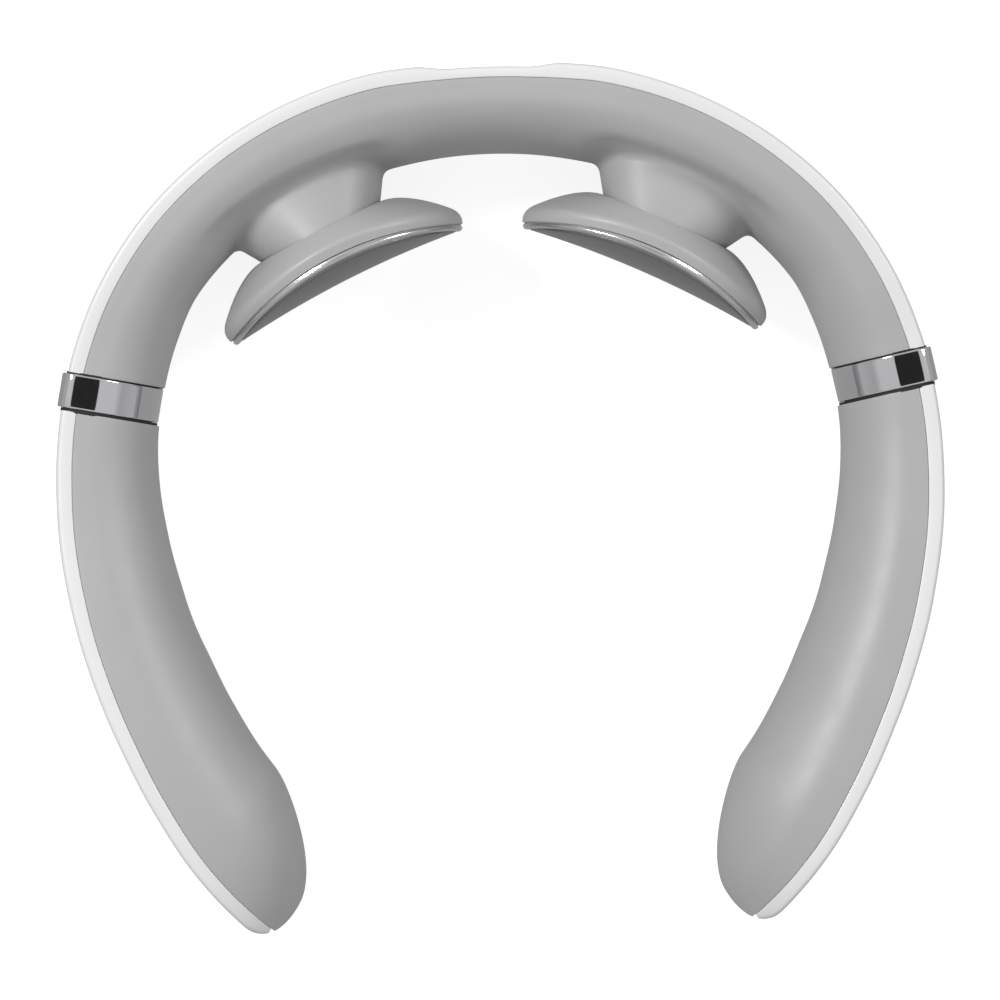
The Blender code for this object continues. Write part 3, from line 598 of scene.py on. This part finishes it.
def sleeve_points(turns, back, grow=0.0):
    """Points round a sleeve's section, as (across, up) arrays."""
    wide, high = sleeve_size(back)
    cosine, sine = np.cos(turns), np.sin(turns)
    reach = (np.abs(cosine) ** SLEEVE_POWER + np.abs(sine) ** SLEEVE_POWER) ** (-1 / SLEEVE_POWER)
    return (wide + grow) * reach * cosine, (high + grow) * reach * sine


def sleeve_ring(turns, back, grow=0.0):
    """A ring of points round a sleeve, in the band's frame."""
    across, up = sleeve_points(turns, back, grow)
    return head_points(across, back, up)


def sleeve_field(points):
    across, back, up = np.moveaxis(in_head(points), -1, 0)
    wide, high = sleeve_size(back)
    power = SLEEVE_POWER
    return (np.abs(across / wide) ** power + np.abs(up / high) ** power) ** (1 / power) - 1


def tube_field(points):
    angle = np.degrees(np.arctan2(points[..., 0], points[..., 1]))
    radius = np.hypot(points[..., 0], points[..., 1])
    start = outer_base(angle) - COVER
    across = np.maximum(0.0, (start - radius) / (start - inner_radius(angle)))
    up = np.abs(points[..., 2]) / (half_height(angle) * LAND)
    return across ** (2 / ACROSS_POWER) + up ** (2 / UP_POWER) - 1


def slope_of(field, points, step=0.01):
    parts = []
    for axis in np.eye(3) * step:
        parts.append((field(points + axis) - field(points - axis)) / (2 * step))
    return np.stack(parts, -1)


def distance(field, points):
    """Roughly how far outside a field's surface the points are."""
    return field(points) / np.maximum(1e-6, np.linalg.norm(slope_of(field, points), axis=-1))


def blended(points):
    """Distance from the band and the sleeve together, with a fillet between them."""
    first = distance(tube_field, points) + pinch(points)
    second = distance(sleeve_field, points)
    near = np.maximum(BLEND - np.abs(first - second), 0.0) / BLEND
    return np.minimum(first, second) - near**2 * BLEND / 4


def pinch(points):
    """How far the band's inner side is drawn back over and under a sleeve."""
    angle = np.degrees(np.arctan2(points[..., 0], points[..., 1]))
    level = np.abs(points[..., 2])
    along = ease(share(angle, *PINCH_FROM)) * ease(share(angle, *PINCH_TO))
    return PINCH * along * ease(share(level, 3.0, 9.0)) * ease(share(level, 17.6, 12.5))


def settle(points, rounds=9):
    """Moves points on to the blended surface, along its own slope."""
    for _ in range(rounds):
        slope = slope_of(blended, points, 0.02)
        size = np.maximum(0.05, (slope**2).sum(-1, keepdims=True))
        points = points - np.clip(blended(points)[..., None] * slope / size, -1.0, 1.0)
    return points


def tube_point(angle, turn):
    across, up = oval(turn)
    start = outer_base(angle) - COVER
    radius = start - (start - inner_radius(angle)) * across
    points = plan(angle, radius)
    points[..., 2] = up * half_height(angle)
    return points


def patch_rings(edge_angle, edge_turn):
    """Rings from the sleeve's end over its flank to the given edge on the band's surface."""
    edge = in_head(tube_point(edge_angle, edge_turn))
    turns = np.arctan2(edge[:, 2] / SLEEVE[1], edge[:, 0] / SLEEVE[0])
    low, high = np.zeros(len(turns)), np.full(len(turns), LONGEST_SLEEVE)
    for _ in range(40):
        middle = (low + high) / 2
        outside = tube_field(sleeve_ring(turns, SLEEVE_END + middle)) > 0
        low, high = np.where(outside, middle, low), np.where(outside, high, middle)
    flank, beside = PATCH_ROWS
    rings = [sleeve_ring(turns, SLEEVE_END + low * step / flank) for step in range(flank)]
    foot = sleeve_ring(turns, SLEEVE_END + low)
    angle = np.degrees(np.arctan2(foot[:, 0], foot[:, 1]))
    level = np.minimum(1.0, (np.abs(foot[:, 2]) / (half_height(angle) * LAND)) ** (1 / UP_POWER))
    turn = np.degrees(np.arccos(np.copysign(level, foot[:, 2])))
    for step in range(beside):
        t = (step / beside) ** 1.15
        rings.append(tube_point(angle + (edge_angle - angle) * t, turn + (edge_turn - turn) * t))
    settled = [rings[0]]
    for i, ring in enumerate(rings[1:], 1):
        keep = ease(share(i, flank + beside - 4, flank + beside))
        settled.append(settle(ring) * (1 - keep) + ring * keep)
    return settled, turns


def patch_edge(first, last, top, bottom):
    """(column, row) pairs round a rectangle of the shell's grid."""
    return (
        [(c, top) for c in range(first, last)]
        + [(last, r) for r in range(top, bottom)]
        + [(c, bottom) for c in range(last, first, -1)]
        + [(first, r) for r in range(bottom, top, -1)]
    )


def build_neck_shell():
    """The nape's grey shell. A sleeve's patch joins its outer skin to its inner one."""
    sections = nape_sections()
    loops, outside = shell_loops(sections)
    bm = bmesh.new()
    grid = vertex_grid(bm, loops)
    first, last = (int(round(angle / NAPE_STEP)) for angle in PATCH_ANGLES)
    top = len(QUARTER) + len(OUTER_FIRST)
    bottom = top + len(PATCH_TURNS) - 1
    inner_bottom = outside + len(INNER_FIRST)
    inner_top = inner_bottom + len(PATCH_TURNS) - 1
    for c in range(len(grid) - 1):
        for r in range(len(grid[0])):
            in_patch = top <= r < bottom or inner_bottom <= r < inner_top
            if in_patch and first <= c < last:
                continue
            after = (r + 1) % len(grid[0])
            bm.faces.new((grid[c][r], grid[c][after], grid[c + 1][after], grid[c + 1][r]))
    close_wall(bm, grid[-1], outside)

    edge = patch_edge(first, last, top, bottom)
    edge_angle = np.array([sections.angles[c] for c, _ in edge])
    edge_turn = np.array([OUTER_TURNS[r - len(QUARTER)] for _, r in edge])
    rings, turns = patch_rings(edge_angle, edge_turn)
    mouth = SLEEVE_END + SLEEVE_LIP
    bore = [(SLEEVE_ROOT, -SLEEVE_WALL), (mouth, -SLEEVE_WALL), (SLEEVE_END, SLEEVE_LIP - SLEEVE_WALL)]
    lip = [(SLEEVE_END, -SLEEVE_LIP), (mouth, 0.0)]
    inside = [sleeve_ring(turns, back, grow) for back, grow in bore + lip]
    rows = vertex_grid(bm, inside + rings[1:])
    outer_row = [grid[c][r] for c, r in edge]
    inner_row = [grid[c][inner_top + top - r] for c, r in edge]
    grid_faces(bm, [inner_row] + rows + [outer_row], around=True)
    piece = new_piece("neck_shell_fine", both_halves(bm), MATERIALS["shell_grey"], "nape", 50)
    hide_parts("neck_shell")
    return piece


def build_back_cover():
    """The white cover round the back of the neck."""
    bm = bmesh.new()
    grid = vertex_grid(bm, cover_loops(nape_sections()))
    grid_faces(bm, grid, around=True)
    bm.faces.new(grid[-1])
    piece = new_piece("back_cover_fine", both_halves(bm), MATERIALS["cover_white"], "nape", 50)
    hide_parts("back_cover")
    return piece


def build_arm_shells():
    """Both arms' grey shells and white covers. The right ones come back, to be cut."""
    loops, outside = shell_loops(arm_sections())
    shell = bmesh.new()
    grid = vertex_grid(shell, loops)
    grid_faces(shell, grid, around=True)
    close_wall(shell, grid[0], outside)
    close_wall(shell, grid[-1], outside)
    outward(shell)
    cover = loft(cover_loops(arm_sections(COVER_LAST)))
    shells = pair(shell, "arm_shell", MATERIALS["shell_grey"], "arm", "arm_shell", 50)
    covers = pair(cover, "arm_cover", MATERIALS["cover_white"], "arm", "arm_cover", 50)
    return shells[1], covers[1]


# ---------------------------------------------------------------- ring and boot


def ring_outline(inside, count=24):
    """The ring's D-shaped outline in its own frame, inside mm in from its surface."""
    half_depth = float(Sections([ARM_START[0]]).depth[0]) / 2
    top = float(half_height(ARM_START[0])) + RING_TOP_PROUD - inside
    outer, inner = -half_depth - RING_PROUD + inside, half_depth - RING_INNER_DROP - inside
    reach, up = oval(np.linspace(6, 174, 4 * count + 1))
    inner_side = np.stack([outer + RING_CORNER + (inner - outer - RING_CORNER) * reach, up * top], -1)
    turns = np.radians(np.linspace(90, 0, count // 2))
    x = outer + RING_CORNER * (1 - np.cos(turns))
    z = -top + RING_CORNER * (1 - np.sin(turns))
    sides = np.linspace(-top + RING_CORNER, top - RING_CORNER, count)[1:-1]
    back = np.stack([np.full(len(sides), outer), sides], -1)
    return np.concatenate([inner_side, np.stack([x, z], -1), back, np.stack([x, -z], -1)[::-1]])


def build_rings():
    """Each polished ring, with its edges rounded on both sides."""
    turns = np.radians(np.linspace(0, 90, 7))
    rounding = [(RING_ROUNDING * (1 - math.sin(t)), RING_ROUNDING * (1 - math.cos(t))) for t in turns]
    flat = np.linspace(RING_FROM + RING_ROUNDING, RING_TO - RING_ROUNDING, 5)[1:-1]
    stages = [(RING_FROM + step, inside) for step, inside in rounding[::-1]]
    stages += [(along, 0.0) for along in flat]
    stages += [(RING_TO - step, inside) for step, inside in rounding]
    stages += [(RING_TO, RING_WALL), (RING_FROM, RING_WALL)]
    loops = []
    for along, inside in stages:
        loops.append([(x, along, z) for x, z in ring_outline(inside)])
    bm = loft(loops, closed=True, frame_matrix=RING)
    pair(bm, "hinge_ring", MATERIALS["chrome"], "nape", "hinge_ring", 50)


def build_boots():
    """The dark sleeve inside each ring, which bridges its hinge. It rides on no body.

    It has a lip on either side of the ring, which fills the gap to the nape and to the arm.
    """
    lips = [(BOOT_LIP, BOOT_LIP_SHIFT, along) for along in (BOOT_FROM, RING_FROM - 0.05)]
    lips_after = [(BOOT_LIP, BOOT_LIP_SHIFT, along) for along in (RING_TO + 0.05, BOOT_TO)]
    tube = [(BOOT_OUTSIDE, 0.0, along) for along in np.linspace(RING_FROM - 0.04, RING_TO + 0.04, 13)]
    bore = [(BOOT_INSIDE, 0.0, along) for along in np.linspace(BOOT_TO, BOOT_FROM, 13)]
    loops = []
    for inside, shift, along in lips + tube + lips_after + bore:
        loops.append([(x + shift, along, z) for x, z in ring_outline(inside, 12)])
    bm = loft(loops, closed=True, frame_matrix=RING)
    for side, mesh, sign in (("left", mirrored(bm), -1), ("right", bm, 1)):
        piece = new_piece(f"{side}_hinge_boot", mesh, MATERIALS["boot_rubber"], None)
        for along in (-BOOT_BEND, BOOT_BEND):
            point = RING @ Vector((0, along, 0))
            point.x *= sign
        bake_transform(piece)


# ---------------------------------------------------------------- heads


def rim_back(turn):
    """How far behind the rim chord the pad's edge lies, at an angle round the pad."""
    return FACE_LOW - FACE_SIDE_DROP * np.cos(turn) ** 2 + FACE_RISE * np.sin(turn) ** 2


def face_back(out, turn):
    """The contact face: hollow along the band and crowned over its height."""
    return FACE_LOW + out**2 * (rim_back(turn) - FACE_LOW)


def pad_ring(out, turns, back):
    return np.stack([PAD[0] * out * np.cos(turns), back, PAD[1] * out * np.sin(turns)], -1)


def opening_share(turns):
    """How far out the opening round the sleeve is, as a share of the pad's outline."""
    across, up = np.cos(turns) * PAD[0], np.sin(turns) * PAD[1]
    wide, high = (half + OPENING_GAP for half in SLEEVE)
    power = SLEEVE_POWER
    return (np.abs(across / wide) ** power + np.abs(up / high) ** power) ** (-1 / power)


def dome_back(run, turns, inside=0.0):
    """The pad's back, from its edge at run = 0 to the opening at run = 1."""
    edge = rim_back(turns) + PAD_BAND
    power = 1.08 + 0.57 * np.cos(turns) ** 2
    return edge + (PAD_TOP - inside - edge) * (1 - np.maximum(1 - run, 0) ** power)


def build_head_shells():
    """Each head's housing: rim band, soft ridge, domed back and the opening for its sleeve."""
    turns, rows = np.radians(np.arange(0, 360, 2.0)), 24
    shrink = 1 - PAD_WALL / PAD[0]
    opening = opening_share(turns)
    foot = rim_back(turns) + FOOT_BACK
    low = pad_ring(FOOT_OUT, turns, foot)
    ridge = pad_ring(1.0, turns, rim_back(turns) + PAD_BAND)
    top = pad_ring(opening, turns, dome_back(1.0, turns))
    soft = 0.6 + 1.1 * np.cos(turns) ** 2
    before = ridge + (low - ridge) * (soft / np.linalg.norm(low - ridge, axis=-1))[:, None]
    start = soft / np.linalg.norm(top - ridge, axis=-1)
    after = pad_ring(1 - (1 - opening) * start, turns, dome_back(start, turns))
    rings = [pad_ring(FOOT_IN, turns, foot)]
    rings += [low + (before - low) * k for k in (0.04, 0.2, 0.6)]
    for t in np.linspace(0, 1, 8):
        rings.append((1 - t) ** 2 * before + 2 * t * (1 - t) * ridge + t**2 * after)
    for step in range(1, rows + 1):
        run = start + (1 - start) * step / rows
        rings.append(pad_ring(1 - (1 - opening) * run, turns, dome_back(run, turns)))
    lip = opening - 0.012
    rings.append(pad_ring(lip, turns, dome_back(1.0, turns) - 0.3))
    for step in range(9):
        run = 1 - step / 8
        inner = shrink - (shrink - lip) * run
        rings.append(pad_ring(inner, turns, dome_back(run, turns, PAD_WALL)))
    rings.append(pad_ring(shrink - 0.03, turns, foot))
    bm = loft(rings, closed=True, frame_matrix=HEAD)
    pair(bm, "head_shell", MATERIALS["head_grey"], "head", "head_shell", 50)


def build_contact_trims():
    """The bright bead round each contact plate, with a fine line along it."""
    turns = np.radians(np.arange(0, 360, 1.25))
    out = np.stack([np.cos(turns) * PAD[1], 0 * turns, np.sin(turns) * PAD[0]], -1)
    out /= np.linalg.norm(out, axis=-1, keepdims=True)
    inset, back = (least + more * np.cos(turns) ** 2 for least, more in (BEAD_INSET, BEAD_BACK))
    middle = pad_ring(1.0, turns, rim_back(turns) + back) - out * inset[:, None]
    rings = []
    for corner in np.arange(0, 360, 12):
        line = 0.16 * math.exp(-(((corner - 24) / 9) ** 2))
        swell, at = BEAD * (1 - line), math.radians(corner)
        rings.append(middle + out * swell * math.cos(at) + np.array([0, swell * math.sin(at), 0]))
    bm = loft(rings, closed=True, frame_matrix=HEAD)
    pair(bm, "contact_trim", MATERIALS["bead_chrome"], "head", "contact_trim", 60)


def build_contact_plates():
    """The satin plates: a dished oval with a rounded rim set just inside the trim."""
    turns = np.radians(np.arange(0, 360, 2.5))
    stages = [(PLATE_REACH * (i + 0.4) / 16.4, 0.0) for i in range(16)]
    for turn in np.radians([0, 30, 60, 90]):
        out = PLATE_REACH - PLATE_RIM * (1 - math.sin(turn))
        stages.append((out, PLATE_ROUNDING * (1 - math.cos(turn))))
    stages += [(PLATE_REACH * k, PLATE_THICKNESS) for k in (1.0, 0.8, 0.5, 0.2)]
    rings = [pad_ring(out, turns, face_back(out, turns) + back) for out, back in stages]
    bm = loft(rings, frame_matrix=HEAD)
    pair(bm, "contact_plate", MATERIALS["steel"], "head", "contact_plate", 60)


# ---------------------------------------------------------------- keys, light and socket


def turned(profile, matrix, sides=64):
    """A closed turned shape. The profile is (radius, depth) pairs round the local X axis."""
    rings = []
    for radius, depth in profile:
        turns = [math.tau * i / sides for i in range(sides)]
        rings.append([(depth, radius * math.cos(t), radius * math.sin(t)) for t in turns])
    return loft(rings, frame_matrix=matrix)


def rounded_bar(length, width, height, matrix):
    """A low bar with round ends, standing out of a face at x = 0."""
    turns = np.radians(np.concatenate([np.linspace(-90, 90, 9), np.linspace(90, 270, 9)]))
    ends = np.array([1] * 9 + [-1] * 9) * (length - width) / 2
    rings = []
    for depth, shrink in ((0.15, 0.0), (0.04 - height, 0.0), (-height, 0.05)):
        half = width / 2 - shrink
        rings.append([(depth, e + half * math.cos(t), half * math.sin(t)) for e, t in zip(ends, turns)])
    return loft(rings, frame_matrix=matrix)


def key_cap(radius, matrix):
    """A push button: a shallow dish in its face, a rounded edge, a skirt and a flange."""
    profile = [(radius * r, 0.14 * (1 - (r / 0.8) ** 2) + 0.02) for r in (0.05, 0.2, 0.4, 0.6, 0.8)]
    for turn in np.radians([0, 30, 60, 90]):
        profile.append((radius - 0.3 * (1 - math.sin(turn)), 0.3 * (1 - math.cos(turn))))
    flange, under = radius + KEY_FLANGE, KEY_SKIRT + 0.5
    profile += [(radius, KEY_SKIRT), (flange, KEY_SKIRT + 0.02), (flange, under), (0.3, under)]
    return turned(profile, matrix)


def key_marks(name, matrix):
    """Raised marks: a plus, a minus, or a ring with a bar for power."""
    quarter = Matrix.Rotation(math.pi / 2, 4, "X")
    sink = Matrix.Translation((0.12, 0, 0))
    marks = []
    if name in ("plus", "minus"):
        marks.append(rounded_bar(2.2, 0.42, 0.14, matrix @ sink))
    if name == "plus":
        marks.append(rounded_bar(2.2, 0.42, 0.14, matrix @ sink @ quarter))
    if name == "power":
        marks.append(rounded_bar(1.3, 0.38, 0.14, matrix @ sink @ quarter @ Matrix.Translation((0, 0.75, 0))))
        loops = []
        for turn in np.radians(np.linspace(38, 322, 49)):
            loop = []
            for corner in np.radians([45, 135, 225, 315]):
                reach = 1.15 + 0.26 * math.cos(corner)
                depth = 0.2 * math.sin(corner)
                loop.append((depth, -reach * math.sin(turn), reach * math.cos(turn)))
            loops.append(loop)
        marks.append(loft(loops, frame_matrix=matrix @ sink))
    return marks


def build_keys():
    """The three keys with their marks. The holes for them come back."""
    cutters = []
    for name, offset, radius in KEYS:
        matrix, body = band_frame(BOARD_ANGLE + offset), f"{name}_key"
        cap = new_piece(f"key_{name}_cap", key_cap(radius, matrix), MATERIALS["shell_grey"], body, 45)
        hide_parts(f"button_{name}")
        for i, mark in enumerate(key_marks(name, matrix)):
            piece = new_piece(f"key_{name}_mark_{i + 1}", mark, MATERIALS["mark"], body, 45)
        hole, pocket, step = radius + KEY_GAP, radius + KEY_POCKET, KEY_SKIRT - 0.05
        profile = [(hole + 0.6, -0.6), (hole, 0.25), (hole, step - 0.01), (pocket, step + 0.01)]
        cutters.append(turned(profile + [(pocket, 4.0)], matrix))
    return cutters


def build_light():
    """The frosted light guide, and the hole for it."""
    matrix, turns = band_frame(LED_ANGLE), np.radians([6, 30, 60, 90])
    dome = [(LED_RADIUS * math.sin(t), 0.05 + 0.3 * (1 - math.cos(t))) for t in turns]
    lens = turned(dome + [(LED_RADIUS, 4.2)], matrix, 40)
    piece = new_piece("led_lens_fine", lens, MATERIALS["lens_clear"], "right_arm", 45)
    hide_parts("led_lens")
    hole = LED_RADIUS + KEY_GAP - 0.1
    return turned([(hole + 0.5, -0.5), (hole, 0.2), (hole, 4.0)], matrix, 40)


def stadium(wide, thick, low, high, matrix, inset=0.0):
    """A closed upright prism with round ends, long side along the band."""
    turns = np.radians(np.concatenate([np.linspace(-90, 90, 13), np.linspace(90, 270, 13)]))
    sides = np.array([1] * 13 + [-1] * 13) * (wide - thick) / 2
    rings = []
    for height, shrink in ((low, inset), (low + inset, 0.0), (high, 0.0)):
        half = thick / 2 - shrink
        ring = [(half * math.sin(t), s + half * math.cos(t), height) for s, t in zip(sides, turns)]
        rings.append(ring)
    return loft(rings, frame_matrix=matrix)


def subtract(obj, cutters):
    """Cuts bmesh shapes out of a piece."""
    for i, bm in enumerate(cutters):
        tool = new_piece(f"tool_{i}", bm, MATERIALS["boot_rubber"], None)
        modifier = obj.modifiers.new("cut", "BOOLEAN")
        modifier.operation = "DIFFERENCE"
        modifier.solver = "EXACT"
        modifier.object = tool
        bake_modifiers(obj)
        bpy.data.objects.remove(tool)
    obj.data.shade_smooth()
    obj.data.set_sharp_from_angle(angle=math.radians(40))


def build_socket():
    """The charging socket: a pressed steel collar round a contact tongue."""
    low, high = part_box("usb_socket")
    board = band_frame(BOARD_ANGLE)
    middle = ((low + high) / 2 - ORIGIN) / MM
    across = (board.inverted() @ middle).x
    place = board @ Matrix.Translation((across, 0, 0))
    bottom, top = ((z - ORIGIN.z) / MM for z in (low.z, high.z))
    shape = stadium(9.0, 3.2, bottom, top, place, 0.1)
    collar = new_piece("usb_socket_fine", shape, MATERIALS["steel"], "right_arm")
    subtract(collar, [stadium(8.4, 2.6, bottom - 2, bottom + 6.2, place)])
    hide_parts("usb_socket")
    tongue = stadium(6.7, 0.7, bottom + 0.6, bottom + 6.4, place, 0.15)
    piece = new_piece("usb_tongue", tongue, MATERIALS["frame_plastic"], "right_arm")
    return stadium(9.6, 3.8, -26.0, -12.5, place)


# ---------------------------------------------------------------- inner parts, room and camera


def dress_inner_parts():
    """Gives each carried CAD node the finish of its slot."""
    for row in frame["record"]["subparts"]:
        node = frame["nodes"][row["node"]]
        node.data.materials.clear()
        node.data.materials.append(MATERIALS[row["material_slot"]])


def build_floor():
    """A round pale floor that glows a little and curves up into a wall, in metres."""
    flat, bend, wall_top, sides = 3.0, 1.5, 6.0, 96
    profile = [(0.02, 0.0), (1.0, 0.0), (flat, 0.0)]
    for turn in np.radians(np.arange(10, 91, 10)):
        profile.append((flat + bend * math.sin(turn), bend * (1 - math.cos(turn))))
    profile.append((flat + bend, wall_top))
    bm = bmesh.new()
    rings = []
    for radius, height in profile:
        turns = [math.tau * i / sides for i in range(sides)]
        rings.append([(radius * math.cos(t), radius * math.sin(t), height) for t in turns])
    rows = vertex_grid(bm, rings)
    grid_faces(bm, rows, around=True)
    bm.faces.new(rows[0])
    bmesh.ops.recalc_face_normals(bm, faces=bm.faces)
    mesh = bpy.data.meshes.new("floor")
    bm.to_mesh(mesh)
    bm.free()
    mesh.shade_smooth()
    floor = bpy.data.objects.new("floor", mesh)
    bpy.context.scene.collection.objects.link(floor)
    material, tree, shader = nodes_of("floor_white")
    tree.links.new(ramp(tree, noise(tree, 3.0), 0.44, 0.46), shader.inputs["Base Color"])
    shader.inputs["Roughness"].default_value = 0.9
    shader.inputs["Specular IOR Level"].default_value = 0.2
    shader.inputs["Emission Color"].default_value = (1, 1, 1, 1)
    shader.inputs["Emission Strength"].default_value = 0.83
    floor.visible_diffuse = False
    floor.visible_glossy = False
    floor.visible_shadow = False
    mesh.materials.append(material)


def area_light(name, place, size, power):
    """A round soft light that looks at the middle of the floor."""
    data = bpy.data.lights.new(name, "AREA")
    data.shape = "DISK"
    data.size = size
    data.energy = power
    light = bpy.data.objects.new(name, data)
    light.location = place
    light.rotation_euler = (-Vector(place)).to_track_quat("-Z", "Y").to_euler()
    light.visible_camera = False
    bpy.context.scene.collection.objects.link(light)


def build_studio():
    """A pale sky that darkens to the ground and straight overhead, two soft lights and the floor."""
    scene = bpy.context.scene
    scene.view_settings.view_transform = "Standard"
    world = bpy.data.worlds.new("studio")
    world.use_nodes = True
    tree = world.node_tree
    place = tree.nodes.new("ShaderNodeTexCoord")
    parts = tree.nodes.new("ShaderNodeSeparateXYZ")
    shade = tree.nodes.new("ShaderNodeValToRGB")
    stops = ((0.0, 0.34), (0.06, 0.44), (0.45, 0.38), (0.6, 0.55), (0.972, 0.55), (0.985, 0.02))
    shades = shade.color_ramp.elements
    for _ in stops[2:]:
        shades.new(0.5)
    for element, (height, value) in zip(shades, stops):
        element.position, element.color = height, (value, value, value, 1)
    tree.links.new(place.outputs["Generated"], parts.inputs["Vector"])
    tree.links.new(parts.outputs["Z"], shade.inputs["Fac"])
    tree.links.new(shade.outputs["Color"], tree.nodes["Background"].inputs["Color"])
    scene.world = world
    area_light("left_softbox", (-0.70, 0.42, 0.95), 0.34, 7.6)
    area_light("right_softbox", (0.85, 0.42, 0.75), 0.4, 3.4)
    build_floor()


def build_camera():
    """Straight above the band with a long lens, turned a little as the photo is."""
    distance, view_width, roll = 2.6, 169.5, -1.72
    data = bpy.data.cameras.new("camera")
    data.sensor_width = 36.0
    data.lens = 36.0 * (distance - ORIGIN.z) / (view_width * MM)
    data.clip_end = 20.0
    camera = bpy.data.objects.new("camera", data)
    camera.location = (ORIGIN.x - 0.14 * MM, ORIGIN.y, distance)
    camera.rotation_euler = (0, 0, math.radians(roll))
    bpy.context.scene.collection.objects.link(camera)
    bpy.context.scene.camera = camera


dress_inner_parts()
build_neck_shell()
build_back_cover()
right_shell, right_cover = build_arm_shells()
build_rings()
build_boots()
build_head_shells()
build_contact_trims()
build_contact_plates()
key_holes = build_keys()
subtract(right_cover, key_holes + [build_light()])
subtract(right_shell, [build_socket()])
build_studio()
build_camera()
